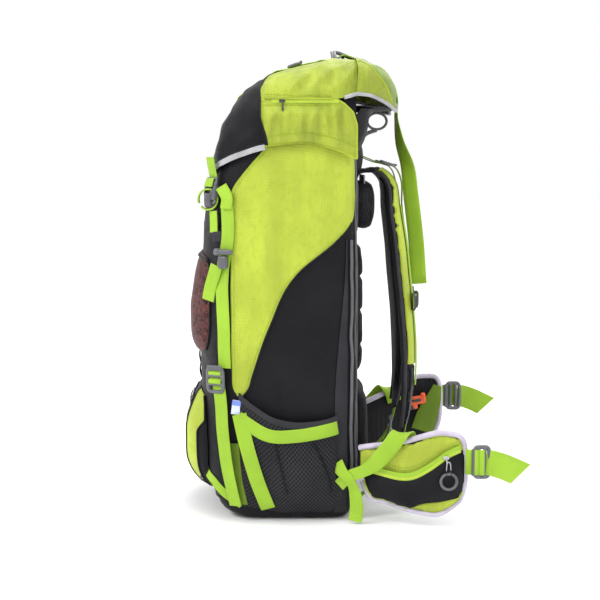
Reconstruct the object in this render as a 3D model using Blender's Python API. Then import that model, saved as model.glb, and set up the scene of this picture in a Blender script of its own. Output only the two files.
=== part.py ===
"""Hiking backpack. Metres, +Z up, +X wearer's right, +Y the way the wearer faces. Z = 0 is the flat base."""
import math

import bmesh
import bpy
from mathutils import Matrix, Vector

OBJECT_NAME = "hiking_backpack"

# Driving dimensions, metres.
GAP = 0.0006            # clearance between sewn neighbours
FABRIC = 0.002          # thickness that stands for a fabric wall
WEB = 0.0014            # webbing thickness
BACK_Y = 0.125          # plane of the back panel
BODY_TOP = 0.545        # where the bag walls end and the collar starts
COLLAR_TOP = 0.598
LID_FLOOR_Z = 0.6135
LID_PIVOT = (0.0, 0.150, 0.606)
SHOULDER_PIVOT_Y = 0.152
SHOULDER_PIVOT_Z = 0.518
WING_PIVOT_X = 0.146
WING_PIVOT_Y = 0.132
BELT_PIVOT_Y = 0.289
LEFT_WING_LIFT = 0.20     # rise of the left wing for each metre out from its hinge
PAD_THICK = 0.018       # shoulder pad
WING_THICK = 0.013      # hip wing

# Bag plan at each height: height, half width, Y of the front corner, Y of the front centre.
BODY_LEVELS = [
    (0.030, 0.1440, -0.078, -0.090),
    (0.060, 0.1500, -0.083, -0.099),
    (0.120, 0.1540, -0.083, -0.105),
    (0.200, 0.1550, -0.082, -0.107),
    (0.300, 0.1550, -0.080, -0.107),
    (0.400, 0.1540, -0.078, -0.104),
    (0.460, 0.1520, -0.076, -0.100),
    (0.510, 0.1490, -0.071, -0.090),
    (0.545, 0.1460, -0.061, -0.078),
]

# Lid stations: Y, height of the crown, half width, height of the hem.
LID_FRONT = [
    (-0.0935, 0.5330, 0.088, 0.5260),
    (-0.0905, 0.5500, 0.108, 0.5280),
    (-0.0820, 0.5800, 0.128, 0.5330),
    (-0.0700, 0.6120, 0.142, 0.5400),
    (-0.0450, 0.6440, 0.152, 0.5480),
    (-0.0110, 0.6690, 0.158, 0.5540),
]
LID_TOP = [
    (-0.0100, 0.6695, 0.158, 0.5540),
    (0.0200, 0.6840, 0.160, 0.5640),
    (0.0500, 0.6900, 0.160, 0.5720),
    (0.0900, 0.6905, 0.159, 0.5650),
    (0.1270, 0.6885, 0.154, 0.5540),
]
LID_REAR = [
    (0.1280, 0.6880, 0.1540, 0.6220),
    (0.1500, 0.6860, 0.1480, 0.6200),
    (0.1700, 0.6800, 0.1380, 0.6185),
    (0.1860, 0.6670, 0.1240, 0.6175),
    (0.1950, 0.6480, 0.1060, 0.6170),
    (0.1975, 0.6340, 0.0900, 0.6170),
]

# Hip wing stations: Y, distance from the middle, low and high edge.
WING_STATIONS = [
    (0.1300, 0.1480, 0.080, 0.114),
    (0.1450, 0.1560, 0.043, 0.118),
    (0.1700, 0.1660, 0.034, 0.123),
    (0.2000, 0.1750, 0.025, 0.130),
    (0.2250, 0.1790, 0.020, 0.138),
    (0.2450, 0.1800, 0.018, 0.143),
    (0.2650, 0.1790, 0.028, 0.141),
    (0.2800, 0.1770, 0.042, 0.134),
    (0.2870, 0.1760, 0.054, 0.120),
]

# Materials: linear base colour and roughness.
MATERIALS = {
    "ripstop_green": ((0.55, 0.68, 0.075), 0.55),
    "ripstop_olive": ((0.25, 0.37, 0.045), 0.55),
    "webbing_green": ((0.40, 0.62, 0.07), 0.65),
    "fabric_black": ((0.022, 0.021, 0.027), 0.65),
    "mesh_black": ((0.028, 0.027, 0.033), 0.8),
    "mesh_wine": ((0.12, 0.065, 0.075), 0.75),
    "cord_grey": ((0.30, 0.30, 0.30), 0.6),
    "plastic_grey": ((0.055, 0.055, 0.06), 0.4),
    "frame_plastic": ((0.03, 0.03, 0.03), 0.5),
    "zip_metal": ((0.45, 0.45, 0.47), 0.35),
}

X_AXIS = Vector((1.0, 0.0, 0.0))
Y_AXIS = Vector((0.0, 1.0, 0.0))
Z_AXIS = Vector((0.0, 0.0, 1.0))


def clear_scene():
    for old in list(bpy.data.objects):
        bpy.data.objects.remove(old, do_unlink=True)


def make_collection(name, hidden):
    group = bpy.data.collections.new(name)
    bpy.context.scene.collection.children.link(group)
    group.hide_render = hidden
    return group


def make_materials():
    made = {}
    for name, (colour, roughness) in MATERIALS.items():
        material = bpy.data.materials.new(name)
        material.use_nodes = True
        shader = material.node_tree.nodes["Principled BSDF"]
        shader.inputs["Base Color"].default_value = (*colour, 1.0)
        shader.inputs["Roughness"].default_value = roughness
        shader.inputs["Metallic"].default_value = 1.0 if name == "zip_metal" else 0.0
        made[name] = material
    return made


clear_scene()
PARTS = make_collection(OBJECT_NAME, False)
CUTTERS = make_collection(OBJECT_NAME + "_cutters", True)
SLOTS = make_materials()


def add_object(name, mesh, slot):
    """One named node with one material."""
    node = bpy.data.objects.new(name, mesh)
    mesh.materials.clear()
    mesh.materials.append(SLOTS[slot])
    PARTS.objects.link(node)
    return node


def mesh_from(name, points, faces):
    """Closed mesh from points and faces, with its faces turned outwards."""
    mesh = bpy.data.meshes.new(name)
    mesh.from_pydata([tuple(p) for p in points], [], faces)
    work = bmesh.new()
    work.from_mesh(mesh)
    bmesh.ops.recalc_face_normals(work, faces=work.faces)
    work.to_mesh(mesh)
    work.free()
    mesh.update()
    return mesh


def put_origin(node, point):
    """Moves the node's origin to a point on its joint axis."""
    node.data.transform(Matrix.Translation(-Vector(point)))
    node.location = point
    return node


def interpolate(x, xs, ys):
    if x <= xs[0]:
        return ys[0]
    for low, high, first, last in zip(xs, xs[1:], ys, ys[1:]):
        if x <= high:
            return first + (last - first) * (x - low) / (high - low)
    return ys[-1]


def shorten(points, amount):
    """Pulls both ends of an open run of points in along the run."""
    run = [Vector(p) for p in points]
    head = (run[1] - run[0]).normalized() * amount
    tail = (run[-2] - run[-1]).normalized() * amount
    run[0] = run[0] + head
    run[-1] = run[-1] + tail
    return run


def sheet(name, rows, inner_rows, slot, closed=False):
    """Wall between an outer grid and a matching inner grid. A closed sheet wraps round on itself."""
    height = len(rows)
    width = len(rows[0])
    points = [p for row in rows for p in row] + [p for row in inner_rows for p in row]
    half = height * width
    faces = []

    def index(row, column, side):
        return side * half + row * width + column % width

    columns = width if closed else width - 1
    for row in range(height - 1):
        for column in range(columns):
            ring = [(row, column), (row, column + 1), (row + 1, column + 1), (row + 1, column)]
            faces.append([index(r, c, 0) for r, c in ring])
            faces.append([index(r, c, 1) for r, c in reversed(ring)])
    for column in range(columns):
        for row in (0, height - 1):
            faces.append([index(row, column, 0), index(row, column + 1, 0),
                          index(row, column + 1, 1), index(row, column, 1)])
    if not closed:
        for row in range(height - 1):
            for column in (0, width - 1):
                faces.append([index(row, column, 0), index(row + 1, column, 0),
                              index(row + 1, column, 1), index(row, column, 1)])
    return add_object(name, mesh_from(name, points, faces), slot)


def offset_plan(row, amount, closed=False):
    """Moves each point of a plan run to its left by an amount, keeping the wall's thickness at corners."""
    count = len(row)
    moved = []
    for i, point in enumerate(row):
        before = row[(i - 1) % count] if closed or i > 0 else None
        after = row[(i + 1) % count] if closed or i < count - 1 else None
        sides = []
        if before is not None:
            sides.append((point - before).to_2d().normalized())
        if after is not None:
            sides.append((after - point).to_2d().normalized())
        along = (sides[0] + sides[-1]).normalized()
        mitre = 1.0 / max(along.dot(sides[0]), 0.5)
        moved.append(point + Vector((-along.y, along.x, 0.0)) * amount * mitre)
    return moved


def ribbon(name, path, across, widths, thicknesses, slot, soft=False):
    """Strap or pad along a path. across is its width direction, one vector or one for each point."""
    path = [Vector(p) for p in path]
    count = len(path)
    wide = [Vector(a).normalized() for a in across] if isinstance(across, list) else [across.normalized()] * count
    widths = widths if isinstance(widths, list) else [widths] * count
    thicknesses = thicknesses if isinstance(thicknesses, list) else [thicknesses] * count
    points = []
    for i, point in enumerate(path):
        legs = []
        if i > 0:
            legs.append((point - path[i - 1]).normalized())
        if i < count - 1:
            legs.append((path[i + 1] - point).normalized())
        along = (legs[0] + legs[-1]).normalized()
        face = along.cross(wide[i]).normalized()
        side = wide[i]
        mitre = 1.0 / max(along.dot(legs[0]), 0.5)
        half_w = widths[i] / 2
        half_t = thicknesses[i] / 2 * mitre
        edge = half_w - thicknesses[i] / 2 if soft else half_w
        if soft:
            ring = [(-half_w, 0), (-edge, -half_t), (edge, -half_t), (half_w, 0), (edge, half_t), (-edge, half_t)]
        else:
            ring = [(-half_w, -half_t), (half_w, -half_t), (half_w, half_t), (-half_w, half_t)]
        points += [point + side * a + face * b for a, b in ring]
    size = 6 if soft else 4
    faces = [list(range(size)), list(range((count - 1) * size, count * size))]
    for i in range(count - 1):
        for k in range(size):
            nxt = (k + 1) % size
            faces.append([i * size + k, i * size + nxt, (i + 1) * size + nxt, (i + 1) * size + k])
    return add_object(name, mesh_from(name, points, faces), slot)


def frame_at(origin, across, along):
    """Local frame: x across the webbing, y along it, z out of its face."""
    x_dir = Vector(across).normalized()
    y_dir = Vector(along).normalized()
    z_dir = x_dir.cross(y_dir).normalized()
    y_dir = z_dir.cross(x_dir)
    turn = Matrix((x_dir, y_dir, z_dir)).transposed().to_4x4()
    return Matrix.Translation(Vector(origin)) @ turn


def rectangle(width, height, corner, centre_y=0.0):
    """Rectangle with cut corners."""
    half_w = width / 2
    half_h = height / 2
    corners = [(half_w, half_h - corner), (half_w - corner, half_h), (corner - half_w, half_h),
               (-half_w, half_h - corner), (-half_w, corner - half_h), (corner - half_w, -half_h),
               (half_w - corner, -half_h), (half_w, corner - half_h)]
    return [(x, y + centre_y) for x, y in corners]


def plate_mesh(name, loops, thickness, frame):
    """Flat plate with holes: the first loop is its outline."""
    curve = bpy.data.curves.new(name, "CURVE")
    curve.dimensions = "2D"
    curve.fill_mode = "BOTH"
    curve.extrude = thickness / 2
    curve.render_resolution_u = 0
    for loop in loops:
        spline = curve.splines.new("POLY")
        spline.points.add(len(loop) - 1)
        for point, (x, y) in zip(spline.points, loop):
            point.co = (x, y, 0.0, 1.0)
        spline.use_cyclic_u = True
    temporary = bpy.data.objects.new(name + "_outline", curve)
    PARTS.objects.link(temporary)
    bpy.context.view_layer.update()
    mesh = bpy.data.meshes.new_from_object(temporary)
    bpy.data.objects.remove(temporary, do_unlink=True)
    bpy.data.curves.remove(curve)
    work = bmesh.new()
    work.from_mesh(mesh)
    bmesh.ops.remove_doubles(work, verts=work.verts, dist=1e-6)
    bmesh.ops.recalc_face_normals(work, faces=work.faces)
    work.to_mesh(mesh)
    work.free()
    mesh.name = name
    mesh.transform(frame)
    return mesh


def plate(name, loops, thickness, frame, slot):
    return add_object(name, plate_mesh(name, loops, thickness, frame), slot)


def block_mesh(name, low, high, corner, frame):
    """Box in a local frame, its four long edges cut back."""
    width = high[0] - low[0]
    depth = high[2] - low[2]
    centre_x = (high[0] + low[0]) / 2
    centre_z = (high[2] + low[2]) / 2
    ring = rectangle(width, depth, corner)
    points = [Vector((centre_x + x, low[1], centre_z + z)) for x, z in ring]
    points += [Vector((centre_x + x, high[1], centre_z + z)) for x, z in ring]
    faces = [list(range(8)), list(range(8, 16))]
    faces += [[k, (k + 1) % 8, 8 + (k + 1) % 8, 8 + k] for k in range(8)]
    return mesh_from(name, [frame @ p for p in points], faces)


def cut(node, tool_mesh):
    """Subtracts a tool from a node."""
    tool = bpy.data.objects.new(node.name + "_tool", tool_mesh)
    CUTTERS.objects.link(tool)
    tool.display_type = "WIRE"
    tool.hide_render = True
    change = node.modifiers.new("cut", "BOOLEAN")
    change.operation = "DIFFERENCE"
    change.solver = "EXACT"
    change.object = tool
    return node


def join(node, tool_mesh):
    """Adds a second overlapping solid to a node, so the two are one body."""
    cut(node, tool_mesh)
    change = node.modifiers[-1]
    change.name = "join"
    change.operation = "UNION"
    return node


def tube(name, path, radius, slot, sides=8, closed=False):
    """Round cord along a path."""
    path = [Vector(p) for p in path]
    count = len(path)
    points = []
    normal = None
    for i, point in enumerate(path):
        before = path[(i - 1) % count] if closed or i > 0 else point
        after = path[(i + 1) % count] if closed or i < count - 1 else point
        along = (after - before).normalized()
        if normal is None:
            guide = X_AXIS if abs(along.x) < 0.9 else Z_AXIS
            normal = along.cross(guide).normalized()
        normal = (normal - along * normal.dot(along)).normalized()
        other = along.cross(normal)
        for k in range(sides):
            angle = 2 * math.pi * k / sides
            points.append(point + (normal * math.cos(angle) + other * math.sin(angle)) * radius)
    faces = []
    spans = count if closed else count - 1
    for i in range(spans):
        j = (i + 1) % count
        for k in range(sides):
            n = (k + 1) % sides
            faces.append([i * sides + k, i * sides + n, j * sides + n, j * sides + k])
    if not closed:
        faces.append(list(range(sides)))
        faces.append(list(range((count - 1) * sides, count * sides)))
    return add_object(name, mesh_from(name, points, faces), slot)


# ---------------------------------------------------------------- bag body

def body_level(z):
    heights = [level[0] for level in BODY_LEVELS]
    return [interpolate(z, heights, [level[k] for level in BODY_LEVELS]) for k in (1, 2, 3)]


def side_run(z):
    """Right side wall in plan, back seam to front seam, with its two rounded corners."""
    half, corner_y, centre_y = body_level(z)
    middle_y = (BACK_Y + corner_y) / 2
    front_mid = Vector((half * 0.55, centre_y + 0.004, z))
    corner = Vector((half - 0.018, corner_y, z))
    seam = corner + (front_mid - corner).normalized() * 0.014
    run = [(half - 0.042, BACK_Y), (half - 0.030, BACK_Y), (half - 0.008, BACK_Y - 0.008), (half, BACK_Y - 0.030),
           (half + 0.003, middle_y), (half - 0.003, corner_y + 0.022)]
    return [Vector((x, y, z)) for x, y in run] + [corner, seam]


def front_run(z):
    """Front wall in plan, right seam to left seam."""
    half, _, centre_y = body_level(z)
    seam = side_run(z)[-1]
    middle = Vector((half * 0.55, centre_y + 0.004, z))
    right = [seam, middle, Vector((0.0, centre_y, z))]
    return right + [Vector((-p.x, p.y, p.z)) for p in (middle, seam)]


def back_run(z):
    edge = side_run(z)[0]
    return [Vector((-edge.x, BACK_Y, z)), Vector((0.0, BACK_Y, z)), Vector((edge.x, BACK_Y, z))]


def mirror_run(run):
    return [Vector((-p.x, p.y, p.z)) for p in reversed(run)]


def side_x(y, z):
    """Outer X of the right wall at a point."""
    run = sorted(side_run(z)[2:7], key=lambda p: p.y)
    return interpolate(y, [p.y for p in run], [p.x for p in run])


def front_y(x, z):
    """Outer Y of the front wall at a point."""
    run = sorted(front_run(z), key=lambda p: p.x)
    corner = side_run(z)[6]
    xs = [p.x for p in run] + [corner.x]
    ys = [p.y for p in run] + [corner.y]
    return interpolate(abs(x), xs, ys)


WALL_HEIGHTS = [0.0365, 0.060, 0.120, 0.200, 0.300, 0.400, 0.460, 0.510, BODY_TOP]


def wall(name, run_at, slot):
    rows = [shorten(run_at(z), GAP / 2) for z in WALL_HEIGHTS]
    inner = [offset_plan(row, -FABRIC) for row in rows]
    return sheet(name, rows, inner, slot)


def closed_loop(z, inset):
    """Whole bag outline in plan at a height, pulled in by an inset."""
    side = side_run(z)[1:7]
    _, _, centre_y = body_level(z)
    half = body_level(z)[0]
    front = [Vector((half * 0.55, centre_y + 0.004, z)), Vector((0.0, centre_y, z)),
             Vector((-half * 0.55, centre_y + 0.004, z))]
    loop = side + front + mirror_run(side)
    return offset_plan(loop, -inset, closed=True)


# Tray: height of its rim, level its plan is taken at, and how far the turn and the flat stand in.
RIM_TOP = 0.0355
TRAY_Z = 0.030
TURN_Z = 0.014
TURN_IN = 0.003
FLAT_IN = 0.018
TRAY_MIDDLE_Y = 0.045
LIFT_START_Y = -0.020
LIFT_RATE = 4.5         # lift in metres for a square metre of run ahead of LIFT_START_Y


def base_panel():
    """Tray: a flat bottom that lifts towards the front, with a rim all round."""
    def lift(point, flat):
        rise = max(0.0, LIFT_START_Y - point.y)
        return Vector((point.x, point.y, flat + LIFT_RATE * rise * rise))

    def halfway_in(point, height):
        return Vector((point.x * 0.5, TRAY_MIDDLE_Y + (point.y - TRAY_MIDDLE_Y) * 0.5, height))

    outer = [closed_loop(RIM_TOP, 0.0)]
    outer.append([lift(p, TURN_Z) for p in closed_loop(TRAY_Z, TURN_IN)])
    outer.append([lift(p, 0.0) for p in closed_loop(TRAY_Z, FLAT_IN)])
    outer.append([halfway_in(p, 0.0) for p in closed_loop(TRAY_Z, FLAT_IN)])
    inner = [closed_loop(RIM_TOP, FABRIC)]
    inner.append([lift(p, TURN_Z) for p in closed_loop(TRAY_Z, TURN_IN + FABRIC)])
    inner.append([lift(p, FABRIC) for p in closed_loop(TRAY_Z, FLAT_IN + FABRIC)])
    inner.append([halfway_in(p, FABRIC) for p in closed_loop(TRAY_Z, FLAT_IN)])
    width = len(outer[0])
    points = [p for ring in outer for p in ring] + [p for ring in inner for p in ring]
    half = len(outer) * width
    faces = []
    for ring in range(3):
        for k in range(width):
            n = (k + 1) % width
            for side in (0, half):
                faces.append([side + ring * width + k, side + ring * width + n,
                              side + (ring + 1) * width + n, side + (ring + 1) * width + k])
    faces.append([3 * width + k for k in range(width)])
    faces.append([half + 3 * width + k for k in range(width)])
    for k in range(width):
        n = (k + 1) % width
        faces.append([k, n, half + n, half + k])
    return add_object("base_panel", mesh_from("base_panel", points, faces), "fabric_black")


def collar_loop(z):
    rise = (z - BODY_TOP) / (COLLAR_TOP - BODY_TOP)
    loop = closed_loop(BODY_TOP, 0.0045 + 0.007 * rise)
    tucked = []
    for p in loop:
        ahead = max(0.0, -p.y - 0.02) * 0.35 * rise
        tucked.append(Vector((p.x, p.y + ahead, z)))
    return tucked


def collar():
    heights = [BODY_TOP - 0.010, 0.560, 0.580, COLLAR_TOP]
    rows = [collar_loop(z) for z in heights]
    inner = [offset_plan(row, -FABRIC, closed=True) for row in rows]
    sheet("collar", rows, inner, "fabric_black", closed=True)


def build_bag():
    wall("front_panel", front_run, "fabric_black")
    wall("side_panel_right", side_run, "ripstop_green")
    wall("side_panel_left", lambda z: mirror_run(side_run(z)), "ripstop_green")
    wall("back_panel", back_run, "fabric_black")
    base_panel()
    collar()


def box_node(name, low, high, corner, slot):
    """Upright slab with its four vertical edges cut back."""
    frame = Matrix(((1, 0, 0, 0), (0, 0, 1, 0), (0, 1, 0, 0), (0, 0, 0, 1)))
    mesh = block_mesh(name, (low[0], low[2], low[1]), (high[0], high[2], high[1]), corner, frame)
    return add_object(name, mesh, slot)


def pad_on_back(name, outline, thickness, slot):
    """Pad on the back panel with a sloped edge. outline is (x, z) points in order."""
    base_y = BACK_Y + GAP
    centre = Vector((sum(x for x, _ in outline) / len(outline), sum(z for _, z in outline) / len(outline)))
    rings = []
    for y, shrink in ((base_y, 0.0), (base_y + thickness * 0.6, 0.002), (base_y + thickness, 0.012)):
        ring = []
        for x, z in outline:
            out = Vector((x, z)) - centre
            out = out - out.normalized() * shrink
            ring.append(Vector((centre.x + out.x, y, centre.y + out.y)))
        rings.append(ring)
    width = len(outline)
    points = [p for ring in rings for p in ring]
    faces = [list(range(width)), list(range(2 * width, 3 * width))]
    for ring in range(2):
        for k in range(width):
            n = (k + 1) % width
            faces.append([ring * width + k, ring * width + n, (ring + 1) * width + n, (ring + 1) * width + k])
    return add_object(name, mesh_from(name, points, faces), slot)


def rounded_outline(half_low, half_high, low, high, corner):
    """Outline symmetric about the middle, wider or narrower at the top."""
    right = [(half_low - corner, low), (half_low, low + corner), (half_high, high - corner), (half_high - corner, high)]
    return right + [(-x, z) for x, z in reversed(right)]


def build_back():
    box_node("frame_sheet", (-0.105, 0.1200, 0.050), (0.105, 0.1222, 0.530), 0.0005, "frame_plastic")
    pad_on_back("upper_back_pad", rounded_outline(0.105, 0.090, 0.428, 0.508, 0.014), 0.032, "mesh_black")
    pad_on_back("back_pad", rounded_outline(0.108, 0.100, 0.205, 0.412, 0.016), 0.014, "mesh_black")
    pad_on_back("lumbar_pad", rounded_outline(0.118, 0.112, 0.045, 0.188, 0.018), 0.022, "mesh_black")


# ---------------------------------------------------------------- pockets

def side_pocket(name, side):
    """Stretch pocket sewn to the side wall at both ends and the bottom, open at the top."""
    # Y and share of the full depth at each column, and the height of the mouth there.
    columns = [(-0.046, 0.0), (-0.030, 0.45), (0.000, 0.85), (0.035, 1.0), (0.070, 0.75), (0.090, 0.35), (0.098, 0.0)]
    tops = [0.196, 0.186, 0.1615, 0.154, 0.158, 0.163, 0.166]
    rows = []
    inner = []
    for share, bulge in ((0.0, 0.0), (0.25, 0.75), (0.55, 1.0), (0.8, 1.0), (1.0, 0.85)):
        row = []
        back = []
        for (y, depth), top in zip(columns, tops):
            z = 0.040 + (top - 0.040) * share
            wall_x = side_x(y, z) + GAP + 0.0012
            row.append(Vector((side * (wall_x + FABRIC * 0.7 + 0.015 * depth * bulge), y, z)))
            back.append(Vector((side * (wall_x + 0.015 * depth * bulge), y, z)))
        rows.append(row)
        inner.append(back)
    sheet(name, rows, inner, "mesh_black")


def side_pocket_strap(name, side):
    """Webbing across the pocket mouth, following the bulge."""
    # Y, height and share of the pocket's depth.
    stations = [(-0.047, 0.1465, 0.0), (-0.030, 0.1430, 0.45), (0.000, 0.1360, 0.85), (0.035, 0.1310, 1.0),
                (0.070, 0.1340, 0.75), (0.090, 0.1380, 0.35), (0.099, 0.1400, 0.0)]
    path = []
    for y, z, depth in stations:
        x = side_x(y, z) + GAP + 0.0012 + FABRIC * 0.7 + 0.015 * depth + 0.0024
        path.append((side * x, y, z))
    ribbon(name, path, Z_AXIS, 0.022, WEB, "webbing_green")


def front_pocket(name, low, high, half, bulge, slot):
    """Pocket on the front wall, open at its top. bulge gives (share of height, depth) rows."""
    shares = [-1.0, -0.82, -0.4, 0.0, 0.4, 0.82, 1.0]
    fullness = [0.0, 0.62, 0.95, 1.0, 0.95, 0.62, 0.0]
    rows = []
    inner = []
    for share, depth in bulge:
        z = low + (high - low) * share
        row = []
        back = []
        for part, full in zip(shares, fullness):
            x = -part * half
            wall_y = front_y(x, z) - GAP - 0.0012
            row.append(Vector((x, wall_y - FABRIC * 0.7 - depth * full, z)))
            back.append(Vector((x, wall_y - depth * full, z)))
        rows.append(row)
        inner.append(back)
    return sheet(name, rows, inner, slot)


def build_pockets():
    for label, side in (("right", 1), ("left", -1)):
        side_pocket("side_pocket_" + label, side)
        side_pocket_strap("side_pocket_strap_" + label, side)
    front_pocket("stretch_pocket", 0.244, 0.396, 0.108,
                 [(0.0, 0.001), (0.25, 0.013), (0.5, 0.017), (0.8, 0.016), (1.0, 0.010)], "mesh_wine")
    front_pocket("lower_pocket", 0.048, 0.190, 0.112,
                 [(0.0, 0.010), (0.15, 0.022), (0.38, 0.029), (0.6, 0.026), (0.8, 0.016), (1.0, 0.009)],
                 "fabric_black")


# ---------------------------------------------------------------- hardware

LOCK_BAR = 0.002        # half height of the middle bar
LOCK_SLOT = 0.008
LOCK_RIM = 0.004
LOCK_PLATE = 0.003
LOCK_LIFT = LOCK_PLATE / 2 + WEB / 2 + 0.0005


def ladder_lock(name, frame, web):
    """Two-slot slider for webbing."""
    slot_y = LOCK_BAR + LOCK_SLOT / 2
    height = 2 * (LOCK_BAR + LOCK_SLOT + LOCK_RIM)
    loops = [rectangle(web + 0.012, height, 0.003),
             rectangle(web + 0.002, LOCK_SLOT, 0.001, slot_y),
             rectangle(web + 0.002, LOCK_SLOT, 0.001, -slot_y)]
    return plate(name, loops, LOCK_PLATE, frame, "plastic_grey")


def lock_pass(frame):
    """Middle line of webbing that passes up through one slot, over the bar and down the other."""
    slot_y = LOCK_BAR + LOCK_SLOT / 2
    local = [(slot_y + 0.010, -LOCK_LIFT), (slot_y + 0.0008, -LOCK_LIFT), (slot_y - 0.0008, LOCK_LIFT),
             (0.0008 - slot_y, LOCK_LIFT), (-slot_y - 0.0008, -LOCK_LIFT), (-slot_y - 0.010, -LOCK_LIFT)]
    return [frame @ Vector((0.0, y, z)) for y, z in local]


def buckle_socket(name, frame, web, slot="plastic_grey"):
    """Outer half of a side-release buckle: a sleeve with a bar for its webbing. It opens towards +y."""
    node = add_object(name, block_mesh(name, (-web / 2 - 0.005, -0.034, -0.0045), (web / 2 + 0.005, 0.0, 0.0045),
                                       0.002, frame), slot)
    cavity = block_mesh(name + "_cavity", (-web / 2, -0.024, -0.0024), (web / 2, 0.004, 0.0024), 0.0004, frame)
    cut(node, cavity)
    bar_gap = block_mesh(name + "_bar_gap", (-web / 2 - 0.001, -0.0302, -0.010), (web / 2 + 0.001, -0.0262, 0.010),
                         0.0004, frame)
    cut(node, bar_gap)
    return node


def buckle_plug(name, frame, web, slot="plastic_grey"):
    """Inner half of a side-release buckle: two prongs and a bar for its webbing. Prongs point to -y."""
    tip = web / 2 - 0.0008
    outline = [(web / 2 + 0.004, 0.016), (-web / 2 - 0.004, 0.016), (-web / 2 - 0.004, 0.0008), (-tip, 0.0008),
               (-tip, -0.018), (-tip + 0.004, -0.022), (-tip + 0.006, -0.018), (-tip + 0.006, -0.003),
               (tip - 0.006, -0.003), (tip - 0.006, -0.018), (tip - 0.004, -0.022), (tip, -0.018), (tip, 0.0008),
               (web / 2 + 0.004, 0.0008)]
    gap = rectangle(web + 0.002, 0.005, 0.0006, 0.0095)
    return plate(name, [outline, gap], 0.0034, frame, slot)


# ---------------------------------------------------------------- edge straps on the front corners

EDGE_WEB = 0.020


def edge_point(z, out):
    """Point at a height, out from the side wall just behind the front corner."""
    half, corner_y, _ = body_level(z)
    return Vector((half - 0.0075, corner_y + 0.0175, z)) + EDGE_FACE * out


EDGE_FACE = Vector((0.90, -0.436, 0.0))
EDGE_ACROSS = Vector((0.436, 0.90, 0.0))
BUCKLE_ACROSS = Vector((0.80, 0.60, 0.0))


def build_edge_straps():
    for label, side in (("right", 1), ("left", -1)):
        flip = Matrix.Scale(side, 4, X_AXIS)
        across = flip @ EDGE_ACROSS
        buckle_across = flip @ BUCKLE_ACROSS
        # Lid buckle, closed.
        top = flip @ Vector((0.1330, -0.0850, 0.504))
        up = (flip @ Vector((0.004, 0.010, 0.100))).normalized()
        frame = frame_at(top, buckle_across * side, up)
        buckle_socket("lid_buckle_socket_" + label, frame, EDGE_WEB)
        buckle_plug("lid_buckle_plug_" + label, frame, EDGE_WEB)
        # Webbing from the lid hem round the bar of the plug, in the buckle's own frame.
        loop = [(0.0, 0.0385, 0.0030), (0.0, 0.030, 0.0030), (0.0, 0.0115, 0.0030), (0.0, 0.0095, 0.0),
                (0.0, 0.0115, -0.0030), (0.0, 0.030, -0.0030)]
        ribbon("lid_strap_" + label, [frame @ Vector(p) for p in loop], buckle_across, EDGE_WEB, WEB, "webbing_green")
        # Webbing from the socket's bar down the corner, through the lower lock, to the base.
        lock_centre = flip @ edge_point(0.216, 0.0085)
        lock_frame = frame_at(lock_centre, across * side, Z_AXIS)
        ladder_lock("edge_lock_" + label, lock_frame, EDGE_WEB)
        bar = [(0.0, -0.046, -0.0058), (0.0, -0.0290, -0.0058), (0.0, -0.0274, 0.0058), (0.0, -0.040, 0.0058)]
        path = [frame @ Vector(p) for p in reversed(bar)]
        facing = [buckle_across] * len(path)
        start = path[-1].copy()
        settled = flip @ edge_point(0.390, 0.0035)
        for k in range(1, 6):
            share = k / 6
            bulge = (flip @ EDGE_FACE) * 0.0050 * math.sin(math.pi * share)
            path.append(start.lerp(settled, share) + bulge)
            facing.append(buckle_across.lerp(across, share))
        path += [settled] + [flip @ edge_point(z, 0.0035) for z in (0.300, 0.250)]
        path += lock_pass(lock_frame)
        path += [flip @ edge_point(z, 0.0035) for z in (0.180, 0.120, 0.065)]
        facing += [across] * (len(path) - len(facing))
        ribbon("edge_strap_" + label, path, facing, EDGE_WEB, WEB, "webbing_green")


# ---------------------------------------------------------------- lid

def lid_arc(station, inset):
    """Cross-section of the lid at a station, right hem to left hem."""
    y, crown, half, hem = station
    height = crown - hem
    shape = [(1.0, 0.0), (1.0, 0.30), (0.975, 0.58), (0.89, 0.80), (0.70, 0.94), (0.36, 0.99), (0.0, 1.0)]
    right = [Vector((half * a, y, hem + height * b)) for a, b in shape]
    inner = []
    for p in right:
        out = Vector((p.x / half, 0.0, (p.z - hem) / max(height, 0.02)))
        out = out.normalized() if out.length > 0 else Z_AXIS
        if p.z - hem < 1e-6:
            out = X_AXIS
        inner.append(p - out * inset)
    inner[0].z = right[0].z
    return inner + [Vector((-p.x, p.y, p.z)) for p in reversed(inner[:-1])]


def lid_panel(name, stations, slot, tuck):
    """Curved lid panel. tuck is how far the inner face is moved along Y at each station, to close the ends."""
    rows = [lid_arc(station, 0.0) for station in stations]
    inner = []
    for station, shift in zip(stations, tuck):
        inner.append([p + Vector((0.0, shift, 0.0)) for p in lid_arc(station, FABRIC)])
    return sheet(name, rows, inner, slot)


def pull_mesh(name, frame):
    """Flat zip pull with an eye at its lower end."""
    loops = [rectangle(0.0084, 0.030, 0.002), rectangle(0.0042, 0.007, 0.001, -0.0085)]
    return plate_mesh(name, loops, 0.0016, frame)


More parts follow.
